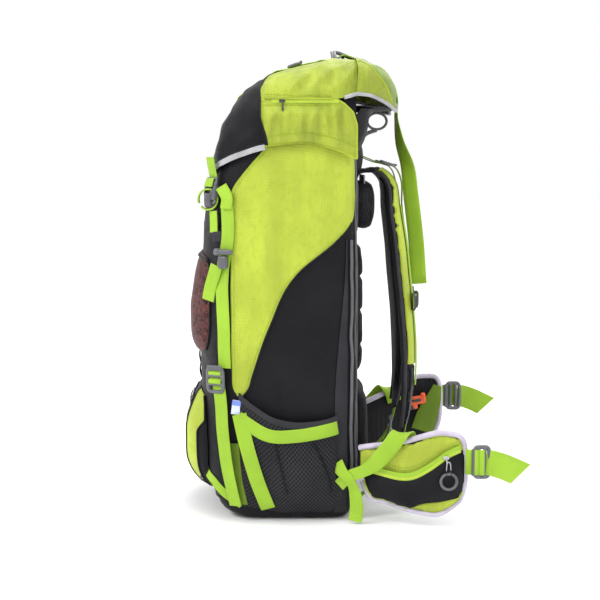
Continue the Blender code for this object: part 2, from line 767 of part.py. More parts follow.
def build_lid():
    front = lid_panel("lid_front_panel", LID_FRONT, "fabric_black", [0.0022, 0.0020, 0.0018, 0.0012, 0.0006, 0.0])
    top = lid_panel("lid_top_panel", LID_TOP, "ripstop_green", [0.0] * 5)
    zip_slot = block_mesh("zip_slot", (0.130, 0.004, 0.6205), (0.180, 0.104, 0.6265), 0.0005, Matrix.Identity(4))
    cut(top, zip_slot)
    rear = lid_panel("lid_rear_panel", LID_REAR, "ripstop_olive", [0.0, 0.0, -0.0006, -0.0012, -0.0018, -0.0022])
    # Right half of the floor's outline in plan, front to rear.
    outline = [(0.098, -0.056), (0.130, -0.044), (0.147, -0.012), (0.1545, 0.030), (0.1545, 0.090), (0.148, 0.126),
               (0.146, 0.129), (0.138, 0.155), (0.124, 0.175), (0.100, 0.1915)]
    loop = outline + [(-x, y) for x, y in reversed(outline)]
    frame = Matrix.Translation((0.0, 0.0, LID_FLOOR_Z))
    floor = plate("lid_floor", [loop], FABRIC, frame, "fabric_black")
    # Zip slider in its slot on the right side.
    slider_mesh = block_mesh("lid_zip_slider", (0.1535, 0.014, 0.6213), (0.1645, 0.024, 0.6257), 0.0008,
                             Matrix.Identity(4))
    slider = add_object("lid_zip_slider", slider_mesh, "zip_metal")
    join(slider, pull_mesh("lid_zip_pull", frame_at((0.1636, 0.019, 0.6110), Y_AXIS, Z_AXIS)))
    # Strap along the crown with its lock, and the tail that hangs behind.
    lock_frame = frame_at((0.0, 0.114, 0.6975), X_AXIS, Y_AXIS)
    lock = ladder_lock("lid_ladder_lock", lock_frame, 0.025)
    path = [(0.0, -0.052, 0.6416), (0.0, -0.045, 0.6475), (0.0, -0.011, 0.6725), (0.0, 0.020, 0.6870),
            (0.0, 0.050, 0.6925), (0.0, 0.090, 0.6932)]
    path += [tuple(p) for p in lock_pass(lock_frame)[:0:-1]]
    path += [(0.0, 0.1325, 0.6932), (0.0, 0.150, 0.6900), (0.0, 0.171, 0.6835), (0.0, 0.1885, 0.6695),
             (0.0, 0.1990, 0.6500), (0.0, 0.2010, 0.6300)]
    strap = ribbon("lid_top_strap", path, X_AXIS, 0.025, WEB, "webbing_green")
    tail_path = [(0.0, 0.2022, 0.6270), (0.004, 0.2060, 0.600), (0.012, 0.2150, 0.560), (0.020, 0.2245, 0.510),
                 (0.026, 0.2290, 0.455), (0.030, 0.2320, 0.400), (0.034, 0.2330, 0.345)]
    turns = [0.0, 12.0, 32.0, 52.0, 64.0, 70.0, 74.0]
    across = [Vector((math.cos(math.radians(a)), math.sin(math.radians(a)), 0.0)) for a in turns]
    tail = ribbon("lid_strap_tail", tail_path, across, 0.025, WEB, "webbing_green")
    for node in (front, top, rear, floor, slider, lock, strap, tail):
        put_origin(node, LID_PIVOT)
    for name in ("lid_strap_right", "lid_strap_left", "lid_buckle_plug_right", "lid_buckle_plug_left"):
        put_origin(bpy.data.objects[name], LID_PIVOT)


# ---------------------------------------------------------------- collar closure

def build_closure():
    """Drawcord round the collar with its spring lock at the front, under the lid."""
    loop = collar_loop(COLLAR_TOP)
    top = COLLAR_TOP + 0.0026
    ring = [Vector((p.x, p.y, top)) for p in offset_plan(loop, -0.001, closed=True)]
    front_index = min(range(len(ring)), key=lambda i: ring[i].y)
    order = ring[front_index + 1:] + ring[:front_index]
    front_at = ring[front_index].y
    centre = Vector((0.0, front_at - 0.0150, 0.5850))
    cord_z = centre.z - 0.0039
    run = [Vector((0.0022, front_at - 0.0225, cord_z)), Vector((0.0022, front_at - 0.0100, cord_z)),
           Vector((0.0030, front_at - 0.0078, cord_z + 0.0040)), Vector((0.0080, front_at - 0.0044, top - 0.0030)),
           Vector((0.0200, front_at - 0.0008, top + 0.0004))]
    path = [Vector((-p.x, p.y, p.z)) for p in run] + order + run[::-1]
    tube("collar_cord", path, 0.0013, "cord_grey", sides=6)
    frame = frame_at(centre, X_AXIS, Z_AXIS)
    body = add_object("cord_lock_body", block_mesh("cord_lock_body", (-0.0065, -0.0090, -0.0045),
                                                   (0.0065, 0.0090, 0.0045), 0.0018, frame), "plastic_grey")
    cord_hole = block_mesh("cord_hole", (-0.0048, -0.012, -0.0060), (0.0048, 0.012, -0.0018), 0.0003,
                           frame_at(centre, -X_AXIS, -Y_AXIS))
    cut(body, cord_hole)
    button_hole = block_mesh("button_hole", (-0.0040, -0.0008, -0.0025), (0.0040, 0.0120, 0.0025), 0.0006, frame)
    cut(body, button_hole)
    button = add_object("cord_lock_button", block_mesh("cord_lock_button", (-0.0035, 0.0032, -0.0020),
                                                       (0.0035, 0.0130, 0.0020), 0.0006, frame), "plastic_grey")
    put_origin(button, centre)


def build_haul_loop():
    """Grey cord loop sewn to the top of the back, under the rear of the lid."""
    centre_y = 0.1640
    centre_z = 0.5960
    path = []
    for k in range(14):
        angle = 2 * math.pi * k / 14
        path.append((0.0, centre_y + 0.0150 * math.cos(angle), centre_z + 0.0125 * math.sin(angle)))
    tube("haul_loop", path, 0.0020, "cord_grey", sides=6, closed=True)


# ---------------------------------------------------------------- harness

# Middle line of the right shoulder pad from its sewn top to its lower tip, then its width and thickness there.
SHOULDER_PATH = [(0.058, 0.1500, 0.5200), (0.060, 0.1640, 0.5190), (0.064, 0.1800, 0.5030), (0.068, 0.1860, 0.4600),
                 (0.074, 0.1930, 0.4100), (0.080, 0.1980, 0.3600), (0.086, 0.2030, 0.3100), (0.091, 0.2065, 0.2600),
                 (0.095, 0.2070, 0.2100), (0.098, 0.2040, 0.1650), (0.100, 0.1980, 0.1250)]
SHOULDER_WIDTH = [0.050, 0.056, 0.062, 0.066, 0.070, 0.072, 0.072, 0.070, 0.064, 0.052, 0.034]
SHOULDER_THICK = [0.010, 0.012, 0.014, 0.016, 0.018, 0.018, 0.018, 0.018, 0.016, 0.013, 0.008]


def build_harness():
    for label, side in (("right", 1), ("left", -1)):
        pivot = (side * 0.060, SHOULDER_PIVOT_Y, SHOULDER_PIVOT_Z)
        path = [(side * x, y, z) for x, y, z in SHOULDER_PATH]
        pad = ribbon("shoulder_strap_" + label, path, X_AXIS, SHOULDER_WIDTH, SHOULDER_THICK, "ripstop_green",
                     soft=True)
        # Lock at the lower end of the pad, held by a short tab.
        lock_frame = frame_at((side * 0.1015, 0.1935, 0.0950), X_AXIS, Vector((0.0, 0.10, 0.99)))
        lock = ladder_lock("shoulder_lock_" + label, lock_frame, 0.020)
        through = lock_pass(lock_frame)
        lower = [(side * 0.1300, 0.1330, 0.0330), (side * 0.1240, 0.1450, 0.0420), (side * 0.1100, 0.1750, 0.0640)]
        lower_path = lower + [tuple(p) for p in through[:0:-1]]
        ribbon("lower_strap_" + label, lower_path, X_AXIS, 0.020, WEB, "webbing_green")
        # Load lifter from the top of the back to the outside of the pad.
        lifter = [(side * 0.062, 0.1275, 0.5420), (side * 0.062, 0.1310, 0.5440), (side * 0.064, 0.1880, 0.5250),
                  (side * 0.066, 0.1975, 0.5050), (side * 0.068, 0.1968, 0.4700), (side * 0.070, 0.1990, 0.4450)]
        ribbon("load_lifter_" + label, lifter, X_AXIS, 0.015, WEB, "webbing_green")
        # Chest strap half, slack, with its buckle half.
        chest_z = 0.330
        pad_y = 0.2010 + PAD_THICK / 2
        strap = [(side * 0.112, pad_y + 0.0028, chest_z), (side * 0.060, pad_y + 0.0028, chest_z),
                 (side * 0.044, pad_y + 0.0080, chest_z - 0.004), (side * 0.036, pad_y + 0.0160, chest_z - 0.012)]
        chest = ribbon("chest_strap_" + label, strap, Z_AXIS, 0.018, WEB, "fabric_black")
        put_origin(pad, pivot)
        put_origin(lock, pivot)
        put_origin(chest, (side * 0.078, pad_y, chest_z))


# ---------------------------------------------------------------- hip belt

def lift_left(side, y):
    """The left wing stands a little higher towards its tip than the right one."""
    return LEFT_WING_LIFT * max(0.0, y - WING_PIVOT_Y) if side < 0 else 0.0


def wing_rows(side):
    outer = []
    inner = []
    for y, x, flat_low, flat_high in WING_STATIONS:
        low = flat_low + lift_left(side, y)
        high = flat_high + lift_left(side, y)
        rim = 0.10 * (high - low)
        heights = [low, low + rim, (low + high) / 2, high - rim, high]
        swell = [0.25, 0.5, 0.5, 0.5, 0.25]
        outer.append([Vector((side * (x + WING_THICK * s), y, z)) for z, s in zip(heights, swell)])
        inner.append([Vector((side * (x - WING_THICK * s), y, z)) for z, s in zip(heights, swell)])
    return outer, inner


def wing_pocket(name, side):
    """Zipped pocket on the wing: a shallow shell with its mouth along the top."""
    rows = []
    inner = []
    # Y and share of the full depth.
    stations = [(0.168, 0.0), (0.182, 0.7), (0.205, 1.0), (0.235, 1.0), (0.258, 0.7), (0.270, 0.0)]
    for share, full in ((0.0, 0.0), (0.3, 0.9), (0.65, 1.0), (1.0, 0.75)):
        row = []
        back = []
        for y, depth in stations:
            x = interpolate(y, [s[0] for s in WING_STATIONS], [s[1] for s in WING_STATIONS]) + WING_THICK / 2
            z = 0.052 + 0.056 * share + lift_left(side, y)
            row.append(Vector((side * (x + 0.0032 + 0.012 * depth * full), y, z)))
            back.append(Vector((side * (x + 0.0018 + 0.012 * depth * full), y, z)))
        rows.append(row)
        inner.append(back)
    return sheet(name, rows, inner, "fabric_black")


def build_hip_belt():
    for label, side in (("right", 1), ("left", -1)):
        pivot = (side * WING_PIVOT_X, WING_PIVOT_Y, 0.080)
        outer, inner = wing_rows(side)
        wing = sheet("hip_wing_" + label, outer, inner, "ripstop_green")
        pocket = wing_pocket("wing_pocket_" + label, side)
        slider_mesh = block_mesh("wing_zip_slider_" + label, (0.1885, 0.240, 0.1095), (0.1925, 0.250, 0.1140), 0.0008,
                                 Matrix.Identity(4))
        slider_mesh.transform(Matrix.Scale(side, 4, X_AXIS))
        slider_mesh.transform(Matrix.Translation((0.0, 0.0, lift_left(side, 0.245))))
        if side < 0:
            slider_mesh.flip_normals()
        slider = add_object("wing_zip_slider_" + label, slider_mesh, "zip_metal")
        belt_z = 0.0990 + lift_left(side, BELT_PIVOT_Y)
        lock_frame = frame_at((side * 0.1858, 0.3090, belt_z), Z_AXIS, Y_AXIS * side)
        buckle = ladder_lock("hip_buckle_" + label, lock_frame, 0.038)
        through = lock_pass(lock_frame)
        if side > 0:
            through = through[::-1]
        path = [tuple(p) for p in through]
        path[0] = (side * 0.1885, BELT_PIVOT_Y, belt_z)
        path += [(side * 0.1830, 0.3450, belt_z - 0.0040), (side * 0.1850, 0.3680, belt_z - 0.0110)]
        web = ribbon("hip_webbing_" + label, path, Z_AXIS, 0.038, WEB, "webbing_green")
        # From the pack's lower corner up and out to the top of the wing.
        stabiliser = [(side * 0.1605, 0.1020, 0.0560), (side * 0.1640, 0.1180, 0.0650), (side * 0.1740, 0.1500, 0.1000),
                      (side * 0.1800, 0.1640, 0.1120)]
        strap = ribbon("stabiliser_strap_" + label, stabiliser, Z_AXIS, 0.018, WEB, "webbing_green")
        for node in (wing, pocket, slider, strap):
            put_origin(node, pivot)
        for node in (buckle, web):
            put_origin(node, (side * 0.1885, BELT_PIVOT_Y, belt_z))


build_bag()
build_back()
build_pockets()
build_edge_straps()
build_lid()
build_closure()
build_haul_loop()
build_harness()
build_hip_belt()
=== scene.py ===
"""Looks of the hiking backpack: fabrics, webbing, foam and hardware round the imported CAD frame.

Metres, +Z up, +X the wearer's right, +Y the way the wearer faces. The bag's own surface is a stack of
smooth plan outlines (class Bag) and the lid's is a row of smooth arches (class Lid). Panels, pockets, seams
and straps are all placed on those two surfaces.
"""
import math

import bpy
import numpy as np
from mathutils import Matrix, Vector, noise
from mathutils.bvhtree import BVHTree


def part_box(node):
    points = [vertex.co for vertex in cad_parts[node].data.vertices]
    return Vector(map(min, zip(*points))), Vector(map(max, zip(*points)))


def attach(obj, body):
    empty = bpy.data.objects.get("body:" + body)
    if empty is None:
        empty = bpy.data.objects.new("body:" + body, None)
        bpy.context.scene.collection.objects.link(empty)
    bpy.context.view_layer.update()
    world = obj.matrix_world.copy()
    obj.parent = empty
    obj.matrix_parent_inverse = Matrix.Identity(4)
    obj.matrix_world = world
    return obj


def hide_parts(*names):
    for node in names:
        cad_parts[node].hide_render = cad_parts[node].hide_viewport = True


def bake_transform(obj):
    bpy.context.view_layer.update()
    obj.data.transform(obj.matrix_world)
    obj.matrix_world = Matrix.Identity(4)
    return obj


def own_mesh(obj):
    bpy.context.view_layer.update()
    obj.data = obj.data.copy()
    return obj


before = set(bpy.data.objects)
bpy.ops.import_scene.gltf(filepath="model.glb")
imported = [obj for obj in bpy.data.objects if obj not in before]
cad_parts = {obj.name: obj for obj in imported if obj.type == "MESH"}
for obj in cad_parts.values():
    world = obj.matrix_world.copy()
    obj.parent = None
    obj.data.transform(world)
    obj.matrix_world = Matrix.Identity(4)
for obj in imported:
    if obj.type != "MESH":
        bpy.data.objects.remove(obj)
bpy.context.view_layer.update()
SIDES = (("right", 1.0), ("left", -1.0))

# ------------------------------------------------------------------ sizes

BACK_Y = 0.125
RIM_Z = 0.0365          # where the base tray meets the walls
WALL_TOP = 0.545
SHELL_TOP = 0.564       # the walls and side panels run up under the lid's hem
CLOTH = 0.0012          # one layer of cloth
LID_CLOTH = 0.0014
NET_CLOTH = 0.0014
PACK_CLOTH = 0.0016     # the bag's heavier cloth
WEB = 0.0015            # webbing thickness
CROWN_WEB = 0.0245      # width of the webbing over the crown
BELT_WEB = 0.0375       # width of the belt webbing
SMOOTH_ANGLE = 45.0     # degrees; sharper edges stay sharp
STITCH = 0.0028         # length of a stitch
BOX_STEPS = 7           # points across each face of a rounded block
LEFT_WING_RISE = 0.2    # the left wing climbs this much per metre forward
LEFT_WING_ROOT = 0.132  # Y where that climb starts

# Pad simulation.
PAD_PRESSURE = 4.0
PAD_VOXEL = 0.0045
PAD_FRAMES = 20
PAD_MASS = 0.25
PAD_STIFFNESS = 12.0

# Studio.
CAMERA_AT = (2.0916, 0.0444, 0.5405)
CAMERA_TILT = 6.117     # degrees below level
CAMERA_LENS = 80.0
SENSOR_WIDTH = 36.0
FLOOR_HALF = 14.0
SKY_POWER = 0.55
SKY_SPREAD = 120.0      # degrees
LAMPS_AIM = (0.0, 0.03, 0.32)
# Name, place, diameter and power of each lamp.
LAMPS = (("key", (1.6, -2.6, 2.9), 1.2, 62.0), ("fill", (2.6, 2.2, 1.7), 2.4, 8.0),
         ("top", (0.2, 0.1, 3.0), 1.6, 24.0), ("rim", (-2.4, 0.8, 2.2), 1.6, 18.0))

# Bag plan by height: height, half width, Y of the front corner, Y of the front centre.
BAG_LEVELS = np.array([
    (0.0, 0.14, -0.072, -0.083),
    (0.03, 0.1445, -0.078, -0.09),
    (0.06, 0.15, -0.083, -0.099),
    (0.12, 0.154, -0.083, -0.105),
    (0.2, 0.1555, -0.082, -0.107),
    (0.3, 0.1555, -0.08, -0.107),
    (0.4, 0.1545, -0.078, -0.104),
    (0.46, 0.1525, -0.076, -0.1),
    (0.51, 0.1495, -0.071, -0.09),
    (0.545, 0.1465, -0.061, -0.078),
    (0.6, 0.142, -0.05, -0.066),
])

# Lid arches from the front hem over the crown: Y, crown, half width, hem.
LID_ARCHES = [
    (-0.089, 0.5255, 0.084, 0.523),
    (-0.0855, 0.542, 0.106, 0.524),
    (-0.0775, 0.566, 0.127, 0.529),
    (-0.064, 0.5985, 0.14, 0.536),
    (-0.041, 0.631, 0.15, 0.546),
    (-0.012, 0.6545, 0.1565, 0.555),
    (0.018, 0.669, 0.159, 0.559),
    (0.05, 0.679, 0.16, 0.561),
    (0.09, 0.6845, 0.159, 0.553),
    (0.1275, 0.683, 0.154, 0.538),
]
# The rear flap, from the crown seam to its free edge.
REAR_ARCHES = [
    (0.126, 0.6832, 0.1545, 0.631),
    (0.144, 0.6795, 0.145, 0.6295),
    (0.161, 0.6715, 0.132, 0.624),
    (0.174, 0.66, 0.114, 0.617),
    (0.183, 0.644, 0.092, 0.6115),
    (0.187, 0.629, 0.076, 0.61),
    (0.1885, 0.6205, 0.068, 0.6095),
]
LID_SEAM_Y = -0.0095    # black front to green top
LID_ZIP_Z = 0.62

RIPSTOP_PITCH = 0.0046  # between the thicker threads

# Linear colours.
GREEN = (0.415, 0.505, 0.043)
GREEN_DEEP = (0.33, 0.48, 0.03)
# Green darkened as painted shade, for the lid's rear flap.
GREEN_SHADED = (0.215, 0.31, 0.034)
WEB_GREEN = (0.325, 0.54, 0.036)
BLACK = (0.0062, 0.006, 0.0082)
MESH_BLACK = (0.0085, 0.0085, 0.01)
CHARCOAL = (0.026, 0.026, 0.031)
GREY = (0.13, 0.13, 0.14)
SILVER = (0.42, 0.42, 0.44)
LILAC = (0.56, 0.51, 0.62)
WINE = (0.09, 0.034, 0.04)
ORANGE = (0.76, 0.095, 0.02)


# ------------------------------------------------------------------ materials

class Shader:
    """A Principled material with short calls for the nodes it is built from."""

    def __init__(self, name, roughness, metallic=0.0, sheen=0.0, coat=0.0, gloss=0.5):
        self.material = bpy.data.materials.new(name)
        self.material.use_nodes = True
        self.tree = self.material.node_tree
        self.surface = self.tree.nodes["Principled BSDF"]
        self.surface.inputs["Roughness"].default_value = roughness
        self.surface.inputs["Metallic"].default_value = metallic
        self.surface.inputs["Sheen Weight"].default_value = sheen
        self.surface.inputs["Sheen Roughness"].default_value = 0.45
        self.surface.inputs["Coat Weight"].default_value = coat
        self.surface.inputs["Specular IOR Level"].default_value = gloss
        self.where = self.tree.nodes.new("ShaderNodeTexCoord")

    def put(self, socket, value):
        if isinstance(value, bpy.types.NodeSocket):
            self.tree.links.new(value, socket)
        elif isinstance(value, tuple) and len(value) == 3 and socket.type == "RGBA":
            socket.default_value = (*value, 1.0)
        else:
            socket.default_value = value

    def maths(self, kind, first, second=0.0, third=0.0):
        node = self.tree.nodes.new("ShaderNodeMath")
        node.operation = kind
        for socket, value in zip(node.inputs, (first, second, third)):
            self.put(socket, value)
        return node.outputs[0]

    def ramp(self, value, low, high, out_low=0.0, out_high=1.0):
        node = self.tree.nodes.new("ShaderNodeMapRange")
        node.interpolation_type = "SMOOTHSTEP"
        for socket, item in zip(node.inputs, (value, low, high, out_low, out_high)):
            self.put(socket, item)
        return node.outputs[0]

    def mix(self, share, first, second):
        node = self.tree.nodes.new("ShaderNodeMix")
        node.data_type = "RGBA"
        self.put(node.inputs[0], share)
        self.put(node.inputs[6], first)
        self.put(node.inputs[7], second)
        return node.outputs[2]

    def noise(self, scale, detail=3.0, stretch=(1.0, 1.0, 1.0), rough=0.55):
        mapping = self.tree.nodes.new("ShaderNodeMapping")
        mapping.inputs["Scale"].default_value = stretch
        self.tree.links.new(self.where.outputs["Object"], mapping.inputs["Vector"])
        node = self.tree.nodes.new("ShaderNodeTexNoise")
        self.tree.links.new(mapping.outputs[0], node.inputs["Vector"])
        node.inputs["Scale"].default_value = scale
        node.inputs["Detail"].default_value = detail
        node.inputs["Roughness"].default_value = rough
        return node.outputs["Fac"]

    def cells(self, scale, feature="F1", coords="Object", randomness=1.0, stretch=(1.0, 1.0, 1.0),
              turn=0.0):
        mapping = self.tree.nodes.new("ShaderNodeMapping")
        mapping.inputs["Scale"].default_value = stretch
        mapping.inputs["Rotation"].default_value = (0.0, 0.0, turn)
        self.tree.links.new(self.where.outputs[coords], mapping.inputs["Vector"])
        node = self.tree.nodes.new("ShaderNodeTexVoronoi")
        node.feature = feature
        self.tree.links.new(mapping.outputs[0], node.inputs["Vector"])
        node.inputs["Scale"].default_value = scale
        node.inputs["Randomness"].default_value = randomness
        return node.outputs["Distance"]

    def axes(self, coords):
        node = self.tree.nodes.new("ShaderNodeSeparateXYZ")
        self.tree.links.new(self.where.outputs[coords], node.inputs[0])
        return node.outputs

    def stripes(self, value, pitch, soft=0.22):
        """1 on a thin line at every pitch, else 0."""
        wave = self.maths("PINGPONG", value, pitch / 2)
        return self.ramp(wave, 0.0, pitch * soft, 1.0, 0.0)

    def ribs(self, value, pitch):
        """Rounded ribs, 0 to 1, at every pitch."""
        angle = self.maths("MULTIPLY", value, 2 * math.pi / pitch)
        wave = self.maths("SINE", angle)
        return self.maths("MULTIPLY_ADD", wave, 0.5, 0.5)

    def bump(self, height, distance, strength=1.0, onto=None):
        node = self.tree.nodes.new("ShaderNodeBump")
        node.inputs["Distance"].default_value = distance
        node.inputs["Strength"].default_value = strength
        self.tree.links.new(height, node.inputs["Height"])
        if onto is not None:
            self.tree.links.new(onto, node.inputs["Normal"])
        return node.outputs[0]

    def finish(self, colour, normal, roughness=None):
        self.put(self.surface.inputs["Base Color"], colour)
        self.tree.links.new(normal, self.surface.inputs["Normal"])
        if roughness is not None:
            self.tree.links.new(roughness, self.surface.inputs["Roughness"])
        return self.material


def shade(colour, factor):
    """A colour made darker or lighter."""
    return tuple(min(1.0, c * factor) for c in colour)


def ripstop(name, colour, crumple=0.0016, folds=0.3, fold_scale=30.0):
    """Light coated nylon with a grid of thicker threads, cloth coordinates in metres. folds sets how strongly
    fold shade and fold highlight are painted along the drape noise.
    """
    s = Shader(name, 0.5, sheen=0.04, gloss=0.3)
    across, along, _ = s.axes("UV")
    grid = s.maths("MAXIMUM", s.stripes(across, RIPSTOP_PITCH), s.stripes(along, RIPSTOP_PITCH))
    weave = s.maths("MULTIPLY", s.ribs(across, 0.0007), s.ribs(along, 0.0007))
    broad = s.noise(9.0, 4.0)
    fine = s.noise(46.0, 3.0)
    drape = s.noise(fold_scale, 1.6, stretch=(1.0, 1.0, 0.22), rough=0.42)
    speckle = s.noise(150.0, 2.0, stretch=(1.0, 1.0, 0.6))
    tone = s.mix(s.ramp(broad, 0.32, 0.7), shade(colour, 0.88), shade(colour, 1.1))
    tone = s.mix(s.maths("MULTIPLY", grid, 0.16), tone, shade(colour, 0.66))
    tone = s.mix(s.ramp(fine, 0.52, 0.78, 0.0, 0.3), tone, shade(colour, 0.74))
    # Painted shade in the folds and painted highlight on their ridges: darker and lighter streaks from the
    # same stretched noise that bumps the cloth.
    tone = s.mix(s.ramp(drape, 0.48, 0.68, 0.0, folds), tone, shade(colour, 0.58))
    tone = s.mix(s.ramp(drape, 0.46, 0.34, 0.0, folds * 0.7), tone, shade(colour, 1.35))
    tone = s.mix(s.ramp(speckle, 0.5, 0.7, 0.0, 0.22), tone, shade(colour, 0.62))
    normal = s.bump(broad, crumple * 2.2, 0.3)
    normal = s.bump(drape, crumple * 1.6, 0.55, onto=normal)
    normal = s.bump(fine, crumple * 0.8, 0.6, onto=normal)
    normal = s.bump(grid, 0.00022, 0.8, onto=normal)
    normal = s.bump(weave, 0.00006, 0.5, onto=normal)
    return s.finish(tone, normal, s.ramp(fine, 0.2, 0.8, 0.42, 0.58))


def plain_cloth(name, colour, weave_pitch=0.0009, roughness=0.55, crumple=0.0014):
    """Closely woven pack cloth."""
    s = Shader(name, roughness, sheen=0.02, gloss=0.16)
    across, along, _ = s.axes("UV")
    weave = s.maths("ADD", s.ribs(across, weave_pitch), s.ribs(along, weave_pitch))
    broad = s.noise(11.0, 4.0)
    fine = s.noise(60.0, 3.0)
    tone = s.mix(s.ramp(broad, 0.3, 0.72), shade(colour, 0.72), shade(colour, 1.35))
    tone = s.mix(s.ramp(fine, 0.58, 0.82, 0.0, 0.35), tone, shade(colour, 1.9))
    normal = s.bump(broad, crumple * 2.0, 0.35)
    normal = s.bump(fine, crumple * 0.5, 0.5, onto=normal)
    normal = s.bump(weave, 0.0001, 0.6, onto=normal)
    return s.finish(tone, normal, s.ramp(fine, 0.2, 0.8, roughness - 0.1, roughness + 0.1))


def webbing(name, colour):
    """Flat woven strap: ribs across, a raised selvedge on each edge. UV u runs across, 0 at the middle."""
    s = Shader(name, 0.55, sheen=0.06, gloss=0.25)
    across, along, _ = s.axes("UV")
    rib = s.ribs(along, 0.0016)
    chevron = s.ribs(s.maths("ADD", along, s.maths("MULTIPLY", s.maths("PINGPONG", across, 0.0025), 0.9)),
                     0.0013)
    lines = s.stripes(across, 0.0025, 0.14)
    thread = s.maths("MULTIPLY", rib, s.maths("SUBTRACT", 1.0, s.maths("MULTIPLY", lines, 0.7)))
    broad = s.noise(14.0, 3.0)
    tone = s.mix(s.ramp(broad, 0.3, 0.7), shade(colour, 0.88), shade(colour, 1.1))
    tone = s.mix(s.maths("MULTIPLY", chevron, 0.3), tone, shade(colour, 0.68))
    tone = s.mix(s.maths("MULTIPLY", lines, 0.35), tone, shade(colour, 0.6))
    normal = s.bump(thread, 0.00022, 0.8)
    normal = s.bump(chevron, 0.0001, 0.6, onto=normal)
    return s.finish(tone, normal, s.ramp(chevron, 0.0, 1.0, 0.48, 0.64))


def net(name, colour, hole, pitch=0.0042, depth=0.0006, coords="UV"):
    """Knitted mesh: rows of offset open cells with raised threads round them."""
    s = Shader(name, 0.72, sheen=0.02, gloss=0.2)
    gap = s.cells(1.0 / pitch, coords=coords, randomness=0.0, stretch=(1.0, 0.82, 1.0),
                  turn=math.radians(45.0))
    open_part = s.ramp(gap, 0.26, 0.42, 1.0, 0.0)
    yarn = s.noise(700.0, 2.0)
    broad = s.noise(13.0, 3.0)
    tone = s.mix(s.ramp(broad, 0.3, 0.7), shade(colour, 0.75), shade(colour, 1.35))
    tone = s.mix(s.maths("MULTIPLY", yarn, 0.35), tone, shade(colour, 1.9))
    tone = s.mix(open_part, tone, hole)
    normal = s.bump(open_part, depth, 0.9)
    normal.node.invert = True
    normal = s.bump(broad, 0.002, 0.35, onto=normal)
    return s.finish(tone, normal)


def printed_stretch(name, strength):
    """Stretch cloth with a small wine, rust and black vein print."""
    s = Shader(name, 0.62, sheen=0.03, gloss=0.25)
    blotch = s.noise(110.0, 2.5, rough=0.62)
    lines = s.cells(150.0, feature="DISTANCE_TO_EDGE")
    fine = s.noise(420.0, 2.0)
    tone = s.mix(s.ramp(blotch, 0.42, 0.52), shade(WINE, 0.22 * strength), shade(WINE, 0.85 * strength))
    tone = s.mix(s.ramp(blotch, 0.6, 0.66, 0.0, 0.8), tone, shade((0.095, 0.06, 0.078), strength))
    tone = s.mix(s.ramp(lines, 0.0, 0.09, 0.65, 0.0), tone, shade((0.3, 0.062, 0.026), strength))
    normal = s.bump(s.noise(12.0, 3.0), 0.0022, 0.3)
    normal = s.bump(fine, 0.00025, 0.7, onto=normal)
    return s.finish(tone, normal)


def tape(name, colour, pitch=0.0011):
    """Ribbed binding tape or piping; ribs run across it."""
    s = Shader(name, 0.6, sheen=0.04, gloss=0.25)
    _, along, _ = s.axes("UV")
    rib = s.ribs(along, pitch)
    broad = s.noise(30.0, 3.0)
    tone = s.mix(s.ramp(broad, 0.3, 0.7), shade(colour, 0.82), shade(colour, 1.12))
    tone = s.mix(s.maths("MULTIPLY", rib, 0.3), tone, shade(colour, 0.7))
    return s.finish(tone, s.bump(rib, 0.00018, 0.8))


def plastic(name, colour, roughness=0.38):
    """Moulded acetal with a fine grain, scuffs and slightly worn, lighter edges."""
    s = Shader(name, roughness, coat=0.05)
    grain = s.noise(1500.0, 2.0)
    scuff = s.noise(55.0, 5.0, stretch=(1.0, 4.0, 1.0))
    edge = s.tree.nodes.new("ShaderNodeNewGeometry").outputs["Pointiness"]
    tone = s.mix(s.ramp(scuff, 0.52, 0.74, 0.0, 0.45), colour, shade(colour, 1.7))
    tone = s.mix(s.ramp(edge, 0.52, 0.6, 0.0, 0.5), tone, shade(colour, 2.4))
    normal = s.bump(grain, 0.00006, 0.5)
    return s.finish(tone, normal, s.ramp(scuff, 0.35, 0.75, roughness - 0.08, roughness + 0.16))


def metal(name, colour):
    """Plated metal with fine wear."""
    s = Shader(name, 0.32, metallic=1.0)
    wear = s.noise(160.0, 4.0, stretch=(1.0, 1.0, 5.0))
    tone = s.mix(s.ramp(wear, 0.35, 0.7), shade(colour, 0.7), colour)
    return s.finish(tone, s.bump(wear, 0.00005, 0.5), s.ramp(wear, 0.2, 0.8, 0.22, 0.42))


def braid(name, colour):
    """Round braided cord; UV u goes round it."""
    s = Shader(name, 0.6, sheen=0.04, gloss=0.25)
    around, along, _ = s.axes("UV")
    left = s.ribs(s.maths("ADD", along, around), 0.0016)
    right = s.ribs(s.maths("SUBTRACT", along, around), 0.0016)
    weave = s.maths("MAXIMUM", left, right)
    tone = s.mix(s.maths("MULTIPLY", weave, 0.45), shade(colour, 0.6), shade(colour, 1.15))
    return s.finish(tone, s.bump(weave, 0.00025, 0.9))


def zip_teeth(name, colour):
    """Coil zip chain: a fine tooth line along the middle of its tape."""
    s = Shader(name, 0.5)
    across, along, _ = s.axes("UV")
    teeth = s.stripes(along, 0.0014, 0.3)
    middle = s.ramp(s.maths("ABSOLUTE", across), 0.0011, 0.0018, 1.0, 0.0)
    tone = s.mix(s.maths("MULTIPLY", middle, teeth), colour, shade(colour, 2.6))
    return s.finish(tone, s.bump(s.maths("MULTIPLY", middle, teeth), 0.0004, 0.9))


